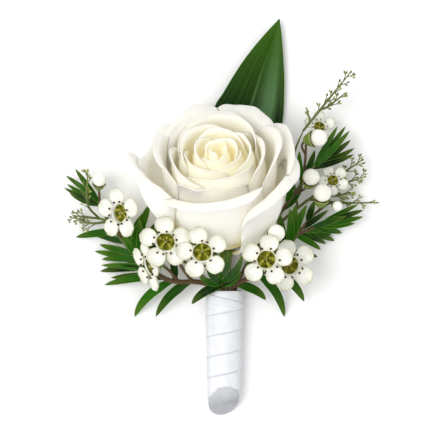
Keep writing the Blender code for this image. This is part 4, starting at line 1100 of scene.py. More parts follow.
@dataclass(frozen=True)
class Bud:
    """A closed bud: its middle, its radius and the way from its stalk to its tip."""

    name: str
    place: Point
    radius: float
    facing: Point
    gap: float = 0.35
    petal_count: int = 5
    lap: float = 0.055
    swirl: float = 0.75

    def matrix(self) -> Matrix:
        """Return its placement in millimetres."""
        return aimed(self.place, self.facing)

    def root(self) -> Point:
        """Return the point inside the foot of its cup."""
        return tuple(self.matrix() @ Vector((0, 0, -self.radius * 1.45 - self.gap)))

    def body(self, form: Form) -> None:
        """Add the rolled petals: a ball whose five petals lap over one another in a swirl.

        Args:
            form: The mesh that it joins.
        """
        angle = round_about(80)
        down = np.linspace(0.04, math.pi - 0.03, 30)[:, None]
        height = -np.cos(down)
        # each petal's edge steps out over the next one, and the ball is drawn up a little at its tip
        over = (self.petal_count * angle / (2 * math.pi) + self.swirl * height) % 1.0
        body_share, tip_share = 0.965, 0.05
        r = self.radius * (body_share + self.lap * over * np.sin(down) ** 0.6)
        r = r * (1 + tip_share * np.maximum(height, 0) ** 4)
        form.loft(placed(polar(r * np.sin(down), angle, r * height), self.matrix()), 0.5)

    def cup(self, form: Form) -> None:
        """Add the small cup under the bud.

        Args:
            form: The mesh that it joins.
        """
        r = self.radius
        inner = r + self.gap + 0.15
        line = ((0.25 * r, -1.75 * r - 0.35), (0.5 * r, -1.55 * r - 0.3), (0.75 * r, -1.15 * r - 0.25),
                (0.95 * r, -0.74 * r), (0.9 * r, -0.7 * r), (0.62 * inner, -0.76 * inner),
                (0.3 * inner, -0.95 * inner), (0.05, -inner))
        form.turned(smooth(line, 24), 30, self.matrix())


FLOWERS = (
    Flower("waxflower_a", (-35.4, 46.2, 15.5), (-0.6, -0.1, 0.8), 20),
    Flower("waxflower_b", (-19.7, 36.6, 31.0), (-0.15, -0.2, 0.97), 50),
    Flower("waxflower_c", (-24.9, 28.3, 19.5), (-0.85, -0.3, 0.43), 0),
    Flower("waxflower_d", (-7.4, 33.2, 37.5), (0.0, -0.2, 0.98), 95),
    Flower("waxflower_e", (14.1, 30.6, 33.0), (0.05, -0.2, 0.98), 60),
    Flower("waxflower_f", (22.3, 28.4, 20.5), (0.25, -0.1, 0.96), 30),
    Flower("waxflower_g", (33.0, 76.0, 8.5), (0.1, 0.2, 0.97), 0, 0.62),
    Flower("waxflower_h", (37.6, 57.4, 8.8), (0.15, 0.2, 0.97), 40, 0.62),
)
BUDS = (
    Bud("bud_upper", (32.5, 72.0, 14.5), 3.0, (0.9, 0.15, 0.4)),
    Bud("bud_middle", (29.9, 58.5, 16.0), 2.9, (0.2, 0.6, 0.7)),
    Bud("bud_lower", (33.7, 53.0, 15.8), 3.1, (0.1, 0.8, 0.6)),
    Bud("bud_small", (39.0, 48.6, 12.9), 1.75, (0.3, -0.2, 0.9)),
    Bud("bud_left", (-43.0, 57.8, 11.5), 2.5, (0.1, 0.7, 0.7)),
    Bud("bud_front", (17.6, 39.4, 30.0), 2.9, (0.3, 0.5, 0.8)),
)
HEADS: dict[str, Flower | Bud] = {item.name: item for item in FLOWERS + BUDS}


@dataclass(frozen=True)
class Waxflowers:
    """All open flowers and buds with their shared finishes."""

    seed: int = 5

    def build(self) -> None:
        """Make and dress each flower and bud."""
        rng = random.Random(self.seed)
        pearl = WaxPetalFinish("waxflower petal, waxy").build()
        closed = WaxPetalFinish("waxflower bud, waxy", hollow="#faf8ec", rim="#fdfcf5", foot="#d9dba8",
                                roughness=0.25).build()
        dark = PlainFinish("anther, dry", "#5a3b22", "#2c1c12", grain_mm=0.3).build()
        pale = PlainFinish("filament, waxy", "#e9e6cf", "#d5d3a6", roughness=0.4).build()
        for flower in FLOWERS:
            petals, dots, threads = Form(), Form(), Form()
            flower.petals(petals, rng)
            flower.anthers(dots, threads, rng)
            petals.piece(flower.name + "_fine", pearl, Slot.WAX, flower.name)
            dots.piece(flower.name + "_anthers", dark, Slot.WAX, flower.name)
            threads.piece(flower.name + "_filaments", pale, Slot.WAX, flower.name)
        for bud in BUDS:
            body = Form()
            bud.body(body)
            body.piece(bud.name + "_fine", closed, Slot.WAX, bud.name)


# Sprigs --------------------------------------------------------------------------------

@dataclass(frozen=True)
class Sprig:
    """A leafy twig: its stems, its leaves and the green cups of its flowers and buds.

    angle is its place round the binding and route its way from there; side stems are a route
    and its radii; a route may end in the name of a flower or bud. A leaf is its root, tip and
    width, and how far its middle is carried aside.
    """

    name: str
    seed: int
    heads: tuple[str, ...]
    angle: float
    route: tuple[Point | str, ...]
    radii: tuple[float, ...]
    side_stems: tuple[tuple[tuple[Point | str, ...], tuple[float, ...]], ...]
    leaves: tuple[tuple, ...]
    foot: tuple[float, ...] = (0.5, 0.5, 0.5)

    def build(self, leaf: bpy.types.Material, twig: bpy.types.Material, cup: bpy.types.Material) -> None:
        """Make and dress the twig.

        Args:
            leaf: Finish of its leaves.
            twig: Finish of its stems.
            cup: Finish of its cups.
        """
        rng = random.Random(self.seed)
        stems, leaves, cups = Form(), Form(), Form()
        main = (BINDING.rooted(self.angle, self.route), self.foot + self.radii)
        for route, radii in (main, *self.side_stems):
            points = [HEADS[p].root() if isinstance(p, str) else p for p in route]
            stems.tube(points, radii, 12, 5, rough=0.05)
        for row in self.leaves:
            leaves.leaf(*row, fold=rng.uniform(0.15, 0.4), tint=rng.random(), twist=rng.uniform(-0.5, 0.5))
        for name in self.heads:
            HEADS[name].cup(cups)
        stems.piece(self.name + "_twigs", twig, Slot.SPRIG, self.name)
        leaves.piece(self.name + "_leaves", leaf, Slot.SPRIG, self.name)
        cups.piece(self.name + "_cups", cup, Slot.SPRIG, self.name)


LEFT_SPRIG = Sprig(
    "sprig_left", 3, ("waxflower_a", "waxflower_b", "waxflower_c", "bud_left"), 180,
    ((-4.0, 20.5, 6.2), (-9, 22.3, 8.8), (-18.5, 22.8, 10.6), (-26.5, 27.5, 8), (-34, 35, 6.5),
     (-41.8, 46, 6.5), (-43.5, 50.5, 7)),
    (0.8, 0.9, 0.85, 0.8, 0.7, 0.6, 0.5),
    (
        (((-36, 37.7, 6.4), (-36, 42.5, 9), "waxflower_a"), (0.6, 0.5, 0.5)),
        (((-11, 22.5, 9.2), (-15, 28.5, 19), "waxflower_b"), (0.7, 0.55, 0.5)),
        (((-16, 22.8, 10.2), (-18.5, 26, 14.5), "waxflower_c"), (0.6, 0.5, 0.5)),
        (((-43.2, 50, 7), (-43.3, 53, 8), "bud_left"), (0.5, 0.4, 0.4)),
    ),
    (
        ((-43.3, 49.8, 7), (-51.6, 61.5, 7.5), 1.9),
        ((-43.3, 49.9, 7), (-55.1, 59.2, 4), 1.8, (0, 0.6, 1)),
        ((-43.4, 49.7, 7), (-52.4, 58.0, 6), 1.6, (0, -0.4, 0)),
        ((-43.2, 49.5, 6.8), (-54.8, 56.3, 2), 1.7, (0, -0.6, 1)),
        ((-43.0, 49.0, 6.7), (-53.7, 53.0, 3), 1.9, (0, -1, 1)),
        ((-37.5, 39.6, 6.5), (-51.8, 37.7, 1.2), 2.5, (0, 1, 2)),
        ((-31.5, 32, 7), (-43.4, 35.2, 4), 2.2, (0, 0, 1)),
        ((-29.5, 30, 7.4), (-42.6, 30, 2.5), 2.3, (0, 1, 2)),
        ((-26.5, 27.5, 8), (-43.3, 25.8, 1.5), 2.6, (0, 1, 3)),
        ((-22, 24.4, 9.6), (-41.9, 21.0, 0.3), 2.6, (0, 1.5, 3)),
        ((-17.9, 22.7, 10.4), (-31.3, 9.9, 0.3), 3.0, (-3, 2.5, 3)),
        ((-11.5, 22.5, 9.3), (-23.8, 10, 3), 3.0, (-2.5, 2.5, 3)),
        ((-30, 31, 7.3), (-21.0, 45.0, 13), 2.6, (-2, 0, -1)),
        ((-33, 34, 6.7), (-27.5, 46.5, 12), 2.8, (-1, 0, 0)),
        ((-22, 24.6, 9.4), (-34, 28.8, 5), 2.4, (0, 1, 1)),
        ((-34.5, 35.8, 6.5), (-47.2, 39.7, 3.2), 2.2, (0, 0.3, 1)),
        ((-28.3, 29, 7.6), (-45.2, 32.8, 1.2), 2.3, (0, 1, 1)),
        ((-25.2, 26.7, 8.3), (-42.8, 28.0, 4.2), 2.2, (0, 1, 1)),
        ((-20.3, 23.6, 9.9), (-39.5, 23.6, 2.6), 2.4, (0, 1.5, 2)),
        ((-27.5, 28.3, 7.7), (-35.5, 39.5, 8.2), 2.3, (-1, 0, 0)),
        ((-43.2, 49.3, 6.9), (-55.6, 55.0, 5.2), 1.7, (0, -0.6, 0.6)),
        ((-17, 22.7, 10.2), (-19.0, 34.0, 13), 2.4, (1, 0, 0)),
        ((-32, 33, 6.9), (-25.6, 49.5, 13), 3.2, (-0.5, 0, 0)),
        ((-26, 27.2, 8.1), (-23.0, 42.5, 17), 3.2, (-1, 0, 1)),
        ((-29, 30, 7.5), (-29.2, 44.5, 16), 2.8, (0.6, 0, 0)),
    ))
CENTRE_SPRIG = Sprig(
    "sprig_centre", 7, ("waxflower_d",), 90,
    ((-0.6, 21, 10.4), (-2.4, 24, 15), (-4.6, 28, 24), "waxflower_d"), (0.8, 0.7, 0.6, 0.56), (),
    (
        ((-0.6, 21.2, 11.2), (-11.2, 14.6, 9), 2.9, (-1.5, 2.4, 6.4)),
        ((-2.2, 24, 15), (1.3, 33.6, 33), 2.9, (1.5, -2.5, 2)),
        ((-1.2, 22.5, 13), (6.0, 32.0, 30), 2.7, (2, -2.5, 0)),
        ((-0.6, 21.4, 11), (5.0, 27.5, 20), 2.2, (1, -1, 0)),
        ((-1.5, 23, 13.5), (-0.5, 27.6, 22), 2.0, (0, -1, 0)),
        ((-0.8, 21.6, 11.4), (-8.5, 24.6, 19), 2.4, (-1, -1, 1)),
        ((-1.0, 21.9, 12), (-6.0, 29.5, 26), 2.4, (-1, -1.5, 0)),
        ((-0.3, 21.3, 11.2), (5.6, 26.2, 17), 2.6, (1, -1, 1)),
    ))
RIGHT_SPRIG = Sprig(
    "sprig_right", 11, ("waxflower_e", "waxflower_f", "bud_front", "bud_lower", "bud_small"), 45,
    ((3.1, 20.6, 8.7), (8.3, 23.6, 11), (14, 26, 12.5), (20, 31, 11.5), (24.5, 38, 9.8), (27, 41, 9.4)),
    (0.8, 0.85, 0.8, 0.75, 0.6, 0.5),
    (
        (((9.5, 24.2, 11.5), (11.2, 26.8, 20), "waxflower_e"), (0.7, 0.55, 0.5)),
        (((11.2, 26.8, 20), (13, 30.8, 25), (14.6, 34.4, 26.2), "bud_front"),
         (0.5, 0.4, 0.4, 0.4)),
        (((18, 29.5, 12), (21.5, 28.5, 13.5), "waxflower_f"), (0.6, 0.5, 0.5)),
        (((22.5, 35, 10.5), (30, 44.5, 9.5), (36.4, 49.7, 8.8)), (0.55, 0.5, 0.4)),
        (((32.5, 46.6, 9.4), (33.4, 48.2, 10.6), "bud_lower"), (0.45, 0.4, 0.4)),
        (((36.0, 49.4, 8.8), (37.2, 49.7, 9.0), "bud_small"), (0.4, 0.35, 0.3)),
        (((25, 38.6, 9.7), (31, 41, 9), (37, 43, 8.5)), (0.55, 0.5, 0.4)),
    ),
    (
        ((4.4, 21.4, 9.4), (14.5, 16, 7), 2.9, (1.5, 2, 2)),
        ((11.5, 25, 11.8), (21.1, 9.8, 0.3), 3.0, (3, 3, 3)),
        ((15.5, 27, 12.4), (27.9, 15.3, 3), 3.0, (3, 2, 3)),
        ((35.8, 42.8, 8.7), (48.2, 47.2, 9), 2.0, (0, 0.4, 0.4)),
        ((34.6, 42.4, 8.8), (48.3, 44.9, 6), 2.0, (0, -0.5, 1)),
        ((33, 41.7, 8.8), (45.6, 42.6, 4), 2.0, (0, -0.5, 1)),
        ((31, 41, 9), (41.1, 39.2, 1.5), 2.2, (1, 0.5, 1)),
        ((28, 40, 9.4), (38.6, 36.4, 0.3), 2.2, (1, 0.5, 2)),
        ((26, 39.6, 9.6), (35.5, 35.4, 3), 2.2, (1, 0.5, 2)),
        ((30, 41, 9.1), (42.5, 45.2, 10.3), 1.9),
        ((32.4, 41.5, 9), (46.6, 49.2, 7.4), 1.8, (0, 0.5, 0.5)),
        ((28.8, 40.4, 9.3), (41.5, 42.8, 6.6), 1.9, (0, 0.4, 0.4)),
        ((27.4, 39.8, 9.5), (39.5, 40.8, 3.6), 1.9, (0, 0.4, 1)),
        ((25.8, 38.9, 9.6), (37.6, 38.6, 1.2), 2.0, (1, 0.4, 1)),
        ((26.8, 40.6, 9.4), (36.0, 47.2, 12.6), 1.8),
        ((24.8, 38.4, 9.7), (33.6, 33.4, 5), 2.0, (1, 0.5, 1)),
        ((22.5, 34, 10.8), (22.6, 47.5, 14), 2.8, (0.5, 0, 1)),
        ((24, 37.5, 9.8), (28.5, 49, 12), 2.4, (-1, 0, 0.5)),
        ((20.2, 31.3, 11.5), (18.6, 46.5, 15), 3.2, (0.6, 0, 0)),
        ((23.4, 36.2, 10.3), (24.4, 49.0, 13.5), 2.8, (0.4, 0, 1)),
        ((18.6, 29.7, 11.8), (14.0, 40.0, 14), 2.6, (0.8, 0, 0)),
        ((29, 43.2, 9.7), (31.2, 50.5, 14), 2.2, (-0.5, 0, 0)),
        ((21, 32.5, 11.2), (32.5, 31, 6), 2.4, (1, 0.5, 1)),
        ((9, 24, 11.2), (8.0, 30.5, 22), 2.2, (0, -1, 0)),
        ((16, 27.6, 12.3), (17.5, 36.5, 15.5), 2.4, (1, -1, 0)),
    ))
UPPER_SPRIG = Sprig(
    "sprig_upper", 13, ("waxflower_g", "waxflower_h", "bud_upper", "bud_middle"), 0,
    ((4.8, 22, 5.4), (9, 30, 4.8), (16, 41, 5.6), (23, 51, 8), (28, 58, 10), (31.4, 62.8, 11)),
    (0.65, 0.7, 0.65, 0.6, 0.55, 0.5),
    (
        (((27, 56.5, 9.7), (28, 64, 11), (28.2, 70, 12.5), "bud_upper"),
         (0.5, 0.45, 0.4, 0.4)),
        (((28.0, 66.5, 11.8), (27.0, 69.6, 7.6), (29.4, 73, 4.9), "waxflower_g"),
         (0.4, 0.4, 0.35, 0.3)),
        (((24, 52.3, 8.4), (27, 54, 11), "bud_middle"), (0.5, 0.4, 0.4)),
        (((29.5, 60, 10.4), (31, 58.6, 6.6), (34.2, 57.4, 5.6), "waxflower_h"),
         (0.4, 0.4, 0.35, 0.3)),
    ),
    (
        ((30.9, 62, 10.9), (43.3, 74.6, 12), 2.1, (0.5, -0.5, 1)),
        ((31.1, 62.3, 11), (43.8, 71.5, 9), 2.1, (0.5, -0.5, 1)),
        ((31.0, 62.2, 11), (45.1, 68.6, 10), 2.0, (0.5, -0.8, 1)),
        ((31.3, 62.6, 11), (39.0, 76.0, 13.5), 1.9),
        ((31.2, 62.5, 11), (42.0, 76.2, 10), 1.9, (0.5, -0.5, 0.4)),
        ((30.6, 61.7, 10.8), (44.8, 66.4, 11.4), 1.9, (0.5, -0.5, 0.6)),
        ((27, 56.5, 9.7), (26.0, 67.5, 12), 2.0, (-0.6, 0, 0)),
        ((22, 49.8, 7.7), (25.5, 61, 13), 2.2, (-1, 0, 0)),
        ((20.5, 47.5, 7.1), (27.2, 56.0, 4.6), 2.4, (1, -0.5, 0)),
        ((26.4, 55.7, 9.4), (31.5, 68.0, 7.4), 2.2, (1, 0, 0)),
    ))


@dataclass(frozen=True)
class Foliage:
    """The four leafy twigs, with their shared finishes."""

    sprigs: tuple[Sprig, ...] = (LEFT_SPRIG, CENTRE_SPRIG, RIGHT_SPRIG, UPPER_SPRIG)

    def build(self) -> None:
        """Make and dress the four twigs."""
        leaf = LeafFinish("waxflower leaf, waxy", blade_mm=2.4, vein_mm=0.8, vein_strength=0.2).build()
        twig = TwigFinish("waxflower twig, woody").build()
        cup = CupFinish("waxflower cup, glazed").build()
        for sprig in self.sprigs:
            sprig.build(leaf, twig, cup)


# Seed sprays ---------------------------------------------------------------------------

@dataclass(frozen=True)
class Spray:
    """A fine seed spray: its stem from the binding, and branches with their counts of seeds."""

    name: str
    seed: int
    angle: float
    route: tuple[Point, ...]
    branches: tuple[tuple[tuple[Point, ...], int], ...]
    stem: tuple[float, ...] = (0.45, 0.45, 0.45, 0.5, 0.5, 0.5, 0.5, 0.45)
    husk: tuple[float, float] = (1.15, 0.32)
    stalks_for_each_seed: float = 1.6
    bare_share: float = 0.3
    stalk_length: tuple[float, float] = (1.8, 4.2)
    twiglets: tuple[tuple[float, int], ...] = ((0.45, 1), (0.72, -1))
    twiglet_chance: float = 0.65

    def husk_at(self, form: Form, root: np.ndarray, way: np.ndarray, rng: random.Random) -> None:
        """Add one pointed husk.

        Args:
            form: The mesh that it joins.
            root: Its foot.
            way: The way it points.
            rng: Source of its size and tint.
        """
        length, radius = self.husk[0] * rng.uniform(0.8, 1.25), self.husk[1] * rng.uniform(0.8, 1.2)
        line = [(radius * math.sin(math.pi * s ** 0.8) ** 0.8 + 0.03, length * s)
                for s in np.linspace(0, 1, 8)]
        form.turned(line, 8, aimed(root, way), rng.random())

    def build(self, twig: bpy.types.Material, husk: bpy.types.Material) -> None:
        """Make and dress the spray.

        Args:
            twig: Finish of its stems.
            husk: Finish of its husks.
        """
        rng = random.Random(self.seed)
        stems, husks = Form(), Form()
        up = np.array(UP)
        stems.tube(BINDING.rooted(self.angle, self.route), self.stem, 8, 5, rough=0.05)
        for points, seeds in self.branches:
            line = array(points)
            stems.tube(points, (0.4,) * (len(line) - 1) + (0.2,), 8, 5, rough=0.08)
            total = round(seeds * self.stalks_for_each_seed)
            for i in range(total):
                share = self.bare_share + (1 - self.bare_share) * (i + 1) / total
                at = catmull(line, share)
                ahead = unit(at - catmull(line, share - 0.08))
                if i == total - 1:
                    self.husk_at(husks, at - ahead * 0.3, ahead, rng)
                    continue
                # a stalk to the left or right in turn, shorter toward the branch's tip
                side = np.cross(ahead, up) * (1 if i % 2 else -1) * rng.uniform(0.35, 0.8)
                way = unit(ahead + side + up * rng.uniform(-0.4, 0.5))
                reach = rng.uniform(*self.stalk_length) * (1.25 - 0.6 * share)
                tip = at + way * reach
                stems.tube([at, at + way * reach * 0.5 + side * 0.1, tip], (0.2, 0.15, 0.12), 6, 3)
                self.husk_at(husks, tip - way * 0.15, way, rng)
                # up to two short twiglets branch from it, one to each hand
                for part, hand in self.twiglets:
                    if rng.random() < self.twiglet_chance:
                        joint = at + way * reach * part
                        twist = unit(way + hand * 0.7 * np.cross(way, up))
                        end = joint + twist * rng.uniform(0.6, 1.1)
                        stems.tube([joint, (joint + end) / 2, end], (0.13, 0.12, 0.1), 6, 1)
                        self.husk_at(husks, end - twist * 0.1, twist, rng)
        stems.piece(self.name + "_stems", twig, Slot.SPRAY, self.name)
        husks.piece(self.name + "_husks", husk, Slot.SPRAY, self.name)


LEFT_SPRAY = Spray(
    "caspia_left", 4, 225,
    ((-4.5, 21, 2.6), (-12, 28, 2.2), (-26, 36, 3.6), (-38, 42.5, 4.6), (-43.8, 44.3, 5.6)),
    (
        (((-43.4, 44.2, 5.5), (-48, 44.8, 6), (-51.8, 45.2, 6.5)), 4),
        (((-43.4, 44.2, 5.5), (-47.2, 49.5, 12), (-46.8, 60.6, 16.0)), 5),
        (((-40, 43.2, 4.9), (-45, 42.6, 4), (-49.5, 42.8, 3)), 3),
    ))
RIGHT_SPRAY = Spray(
    "caspia_right", 9, 315,
    ((3.8, 21.2, 2.6), (10, 30, 1.6), (19, 42, 2.2), (27, 49, 3.3), (32.5, 53, 3.4), (35.4, 55.6, 3.6)),
    (
        (((25.6, 47.9, 3.3), (24.2, 59, 3.6), (24.4, 67, 7), (27.4, 75.0, 13.2)), 0),
        (((27.2, 74.5, 13.0), (34.5, 83.5, 13.6), (43.4, 94.5, 14)), 7),
        (((28.5, 76.3, 13.1), (29.5, 78, 13.3), (28.4, 82, 13.5)), 1),
        (((33, 81.7, 13.5), (36, 83, 13.5), (41.5, 87.3, 13)), 3),
        (((34.8, 55.1, 3.7), (42, 60.5, 4.6), (47.8, 64.5, 7)), 4),
        (((33.5, 53.8, 3.5), (42, 56.6, 3.8), (48.9, 58.8, 5)), 4),
        (((32.3, 52.9, 3.4), (38.5, 52.2, 3.2), (44.8, 53.2, 4)), 3),
        (((29.5, 50.9, 3.3), (41, 49.8, 2.6), (53.3, 49.8, 3)), 4),
    ))


@dataclass(frozen=True)
class Sprays:
    """The two seed sprays, with their shared finishes."""

    sprays: tuple[Spray, ...] = (LEFT_SPRAY, RIGHT_SPRAY)

    def build(self) -> None:
        """Make and dress both sprays."""
        twig = TwigFinish("spray stem, dried", woody="#5d6a2c", green="#76883c").build()
        husk = PlainFinish("spray husk, dried", "#b3b45c", "#56651f", grain_mm=0.5).build()
        for spray in self.sprays:
            spray.build(twig, husk)


# Long leaf -----------------------------------------------------------------------------

@dataclass(frozen=True)
class Ruscus:
    """The long folded leaf behind the rose, on its stalk."""

    midrib: tuple[Point, ...] = ((1.4, 45.5, 0.9), (3.6, 58, 0.5), (6.6, 76, 0.6), (9.3, 84.5, 1.1),
                                 (14, 99, 2.2), (19.25, 113.75, 3.6))
    half_width: float = 13.4
    fold_left: float = 0.34
    fold_right: float = 0.12
    left_share: float = 0.86
    thickness: float = 0.5
    groove_depth: float = 0.35
    groove_width: float = 0.05
    wave: float = 0.12
    stalk: tuple[Point, ...] = ((-1.6, 22, 1.5), (-3.3, 29, 1.0), (-2.6, 38, 0.8), (1.0, 46, 0.95),
                                (1.9, 49, 0.8))
    stalk_radii: tuple[float, ...] = (0.5, 0.5, 0.5, 0.6, 0.65, 0.65, 0.7, 0.5)

    def blade(self) -> Form:
        """Make the blade: folded at its midrib, its halves bellied, its tip drawn out.

        Returns:
            The blade.
        """
        along, across = 90, 40
        t = np.linspace(0, 1, along + 1)[:, None]
        line = smooth(self.midrib, along + 1)
        over = unit(np.cross(unit(np.gradient(line, axis=0)), UP))
        half = self.half_width * np.sin(math.pi * np.clip(t ** 0.84, 0.03, 0.997)) ** 0.9
        u = np.linspace(-1, 1, across + 1)
        out = np.abs(u)
        rise = np.where(u < 0, self.fold_left, self.fold_right) * out * (1 - 0.25 * out) * half
        rise = rise + self.wave * np.sin(9 * t + 2) * u ** 2
        rise = rise - self.groove_depth * np.exp(-(u / self.groove_width) ** 2)
        aside = u * np.where(u < 0, self.left_share, 1.0) * half
        grid = line[:, None] + over[:, None] * aside[..., None]
        grid[..., 2] = np.maximum(grid[..., 2] + rise, self.thickness / 2 + 0.02)
        form = Form()
        form.plate(grid, self.thickness * (1 - 0.6 * out ** 3), 0.35)
        return form

    def build(self) -> None:
        """Make and dress the blade and its stalk."""
        # painted sheen: the right half curls up, so a band of painted sheen lies across it and goes dark
        # again at its margin
        band = ((0.5, "#161616"), (0.525, "#8a8a8a"), (0.545, "#303030"), (0.6, "#4c4c4c"),
                (0.72, "#e8e8e8"), (0.82, "#f4f4f4"), (0.9, "#202020"))
        leaf = LeafFinish("ruscus leaf, glossy", blade_mm=27, vein_mm=1.0, deep="#062002",
                          fresh="#143f07", edge="#6f9a4a", tip="#4c8010", vein_strength=0.4,
                          gloss=0.08, painted_sheen=0.62, painted_sheen_band=band, painted_sheen_colour="#74a070",
                          margin=0.012, glint="#7c7c7c").build()
        twig = TwigFinish("ruscus stalk, green", woody="#4f6a33", green="#57763a").build()
        self.blade().piece("ruscus_blade", leaf, Slot.LEAF, "ruscus_leaf")
        stalk = Form()
        stalk.tube(BINDING.rooted(270, self.stalk), self.stalk_radii, 12, 5)
        stalk.piece("ruscus_stalk", twig, Slot.LEAF, "ruscus_leaf")


# Ribbon --------------------------------------------------------------------------------

@dataclass(frozen=True)
class Ribbon:
    """Satin ribbon wound down the stems, each turn over the next, and folded over the end."""

    width: float = 10.0
    turns: float = 6.6
    start: float = -1.3
    pitch: float = 6.0
    step: float = 0.15
    inset: float = 0.3
    cut: float = 270.0
    thickness: float = 0.16
    skew: float = 0.22
    front_end: float = -15.0
    back_end: float = -25.0
    end_radius: float = 5.5
    sides: int = 72
    creases: int = 8
    crease: float = 0.05
    pull: float = 0.06
    covered_dip: float = 0.14
    foot_dip: float = 0.22
    foot_rise: float = 0.9
    seed: int = 8
    clearance: float = 0.12

    def sizes(self) -> tuple[float, float, float, float]:
        """Read the handle's sizes from its solid's box.

        Returns:
            The axis in x and z, the top and the radius there.
        """
        low, high = (Vector(corner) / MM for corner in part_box("ribbon_wrap"))
        radius = (high.x - low.x) / 2
        return (low.x + high.x) / 2, high.z - radius, high.y, radius

    def radius(self, y: np.ndarray | float) -> np.ndarray | float:
        """Return the sleeve's outer radius at a height."""
        _, _, top, radius = self.sizes()
        return radius + (self.end_radius - radius) * np.clip((top - y) / (top - self.back_end), 0, 1)

    def lowest(self, x: np.ndarray, z: np.ndarray) -> np.ndarray:
        """Return the height of the slanted end at a place in the section."""
        slope = (self.front_end - self.back_end) / (2 * self.sizes()[1])
        return self.back_end + self.skew * x + slope * z

    def strip(self) -> Form:
        """Wind the strip: its lower edge stands proud of the turn below.

        Returns:
            The wound strip.
        """
        x0, z0, top, _ = self.sizes()
        count, across = int(self.turns * self.sides) + 1, 10
        turn = 2 * math.pi * np.arange(count) / self.sides + self.start
        cos, sin = np.cos(turn), np.sin(turn)
        down = (turn - turn[0]) / (2 * math.pi) / self.turns
        each = 1.0 / self.turns
        rng = random.Random(self.seed)
        creases = [(rng.uniform(0.6, 2.5), rng.uniform(1, 4), rng.uniform(0, 6.3))
                   for _ in range(self.creases)]
        columns = []
        for share in np.linspace(0, 1, across + 1):
            # each turn covers part of the one below it; the last ones gather at the slanted end
            past = share * self.width / self.pitch - 1.0
            f = np.clip(down * (1 + each * 0.4) + past * each, 0.0, 1.0)
            straight = top - f * (top - self.back_end)
            r = self.radius(straight)
            foot = self.lowest(r * cos, z0 + r * sin) + self.foot_rise
            y = np.maximum(straight, foot)
            pressed = 0.65 + 0.35 * np.sin(1.7 * turn + 1.0)
            lift = self.step * pressed * past - self.clearance
            wrinkle = sum(self.crease * np.sin(a * turn * 2 + b * share * 3 + c) for a, b, c in creases) / 3
            pulled = self.pull * np.sin(11 * turn + 7 * share) * share ** 2
            # the covered edge dips under the turn above, and the foot draws in toward the end
            hidden = self.covered_dip * max(0.0, 1 - share / 0.35)
            near = np.clip(1 - (y - foot) / 1.4, 0, 1)
            r = self.radius(y) + lift + wrinkle + pulled - hidden - self.foot_dip * near * near
            columns.append(np.stack([x0 + r * cos, y, np.maximum(z0 + r * sin, self.clearance)], -1))
        form = Form()
        form.plate(np.stack(columns, axis=1), self.thickness, 0.5)
        return form

    def end(self) -> Form:
        """Fold the end: ribbon pulled over the cut stems and tucked.

        Returns:
            The folded end.
        """
        x0, z0, _, _ = self.sizes()
        angle = round_about(self.sides)
        inner_top, corner, split, hole = -6.0, 1.3, 0.35, 0.05
        sleeve, full = self.radius(-18.0) - self.inset, self.radius(-20.0) - self.inset
        rings = []
        for share in np.linspace(0, 1, 30):
            # first down inside the wound strip, then round the corner and in to the middle
            s = (share - split) / (1 - split)
            quarter = math.pi / 2 * min(1.0, s * 3.0)
            drawn = (full - corner - hole) * max(0.0, (s - 0.3333) / 0.6667)
            r = full - corner * (1 - math.cos(quarter)) - drawn if s >= 0 else sleeve
            x, z = r * np.cos(angle), z0 + r * np.sin(angle)
            edge = self.lowest(x, z)
            y = (edge + corner * (1 - math.sin(quarter)) if s >= 0
                 else inner_top + (edge + corner - inner_top) * share / split)
            fold = 0.12 * np.sin(4 * angle + 5 * share)
            rings.append(np.stack([x0 + x, y - fold * (share > 0.5), np.maximum(z, 0.1)], -1))
        form = Form()
        form.loft(np.array(rings), 0.5)
        return form

    def tuck(self) -> Form:
        """Fold the short piece that crosses the top turn.

        Returns:
            The fold.
        """
        x0, z0, top, _ = self.sizes()
        along = 30
        angle = np.radians(np.linspace(150, -15, along))
        columns = []
        for share in np.linspace(0, 1, 9):
            y = top - 0.6 - np.linspace(0.2, 4.6, along) - share * 3.4 * np.linspace(1.0, 0.5, along)
            r = self.radius(y) + 0.03 + 0.05 * share
            columns.append(np.stack([x0 + r * np.cos(angle), y, z0 + r * np.sin(angle)], -1))
        form = Form()
        form.plate(np.stack(columns, axis=1), self.thickness, 0.5)
        return form

    def build(self) -> None:
        """Make and dress the ribbon."""
        satin = SatinFinish("polyester satin ribbon, woven").build()
        # painted shade: the folded end takes a darker copy of the satin, alike in all but colour, which
        # stands for the shade of the end turned from the light
        painted_shade_end = SatinFinish("polyester satin ribbon, matt reverse", cloth="#c8c9cb",
                              shade="#b8babd").build()
        strip = self.strip().piece("ribbon_strip", satin, Slot.SATIN, "ribbon_wrap")
        end = self.end().piece("ribbon_end", painted_shade_end, Slot.SATIN, "ribbon_wrap")
        tuck = self.tuck().piece("ribbon_tuck", satin, Slot.SATIN, "ribbon_wrap")


# Stage ---------------------------------------------------------------------------------

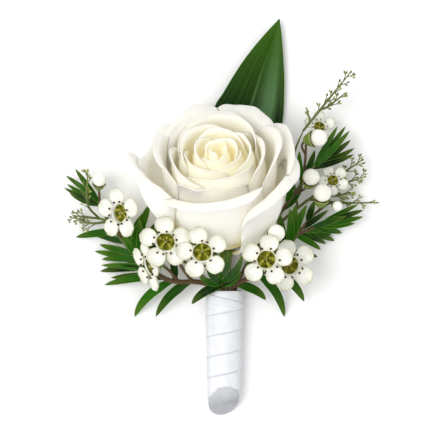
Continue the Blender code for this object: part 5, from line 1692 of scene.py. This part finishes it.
@dataclass(frozen=True)
class Studio:
    """Pale floor, soft light from the upper left and a long lens straight above."""

    view_width: float = 150.5
    distance: float = 836.0
    look_at: tuple[float, float] = (-3.15, 45.5)
    sensor: float = 36.0
    bright_side: Point = (-0.07, -0.25, 0.966)
    bright: float = 1.02
    dim: float = 0.57
    turns_dim: float = -0.2
    floor_half_m: float = 1.5
    key_place_m: Point = (-0.4, 0.1, 1.0)
    key_aim_m: Point = (0, 0.04, 0)
    key_size_m: float = 0.5
    key_watts: float = 4.6

    def floor(self) -> None:
        """Lay the pale floor under the posy."""
        half = self.floor_half_m
        mesh = bpy.data.meshes.new("floor")
        mesh.from_pydata([(-half, -half, 0), (half, -half, 0), (half, half, 0), (-half, half, 0)], [],
                         [(0, 1, 2, 3)])
        paper = Finish("backdrop paper, matt")
        made, nodes = paper.start()
        # almost no highlight, so the backdrop stays an even white round the posy
        paper.dress(nodes, Base_Color="#fbfbfb", Roughness=0.9, Specular_IOR_Level=0.1)
        mesh.materials.append(made)
        plane = bpy.data.objects.new("floor", mesh)
        bpy.context.scene.collection.objects.link(plane)

    def key(self) -> None:
        """Add the soft square lamp whose light gives the leaves and petals their form."""
        data = bpy.data.lights.new("key", "AREA")
        data.size = self.key_size_m
        data.energy = self.key_watts
        made = bpy.data.objects.new("key", data)
        made.location = self.key_place_m
        way = Vector(self.key_aim_m) - Vector(self.key_place_m)
        made.rotation_euler = way.to_track_quat("-Z", "Y").to_euler()
        bpy.context.scene.collection.objects.link(made)

    def world(self) -> None:
        """Set the world: white, brightest on one side and dimmer away from it."""
        made = bpy.data.worlds.new("studio")
        made.use_nodes = True
        nodes = Nodes(made.node_tree)
        way = nodes.add("TexCoord", out="Generated")
        facing = nodes.add("VectorMath", {"operation": "DOT_PRODUCT"}, {0: way, 1: self.bright_side},
                           "Value")
        strength = nodes.add("MapRange", Value=facing, From_Min=self.turns_dim, To_Min=self.dim,
                             To_Max=self.bright)
        back = made.node_tree.nodes["Background"].inputs
        nodes.feed(back["Color"], WHITE)
        nodes.feed(back["Strength"], strength)
        bpy.context.scene.world = made

    def camera(self) -> None:
        """Set the camera straight above, far off, so that near and far parts keep their size."""
        data = bpy.data.cameras.new("camera")
        data.sensor_width = self.sensor
        data.lens = self.sensor * self.distance / self.view_width
        data.clip_start = 0.05
        made = bpy.data.objects.new("camera", data)
        made.location = Vector((*self.look_at, self.distance)) * MM
        bpy.context.scene.collection.objects.link(made)
        bpy.context.scene.camera = made
        bpy.context.scene.view_settings.view_transform = "Standard"

    def build(self) -> None:
        """Set the floor, the lamp, the world and the camera."""
        self.floor()
        self.key()
        self.world()
        self.camera()


def main() -> None:
    """Build every class in order."""
    logging.basicConfig(level=logging.INFO, format="%(message)s")
    for part in (Binding(), Rose(), Ruscus(), Foliage(), Sprays(), Waxflowers(), Ribbon(), Studio()):
        part.build()
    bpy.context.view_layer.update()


if __name__ == "__main__":
    main()
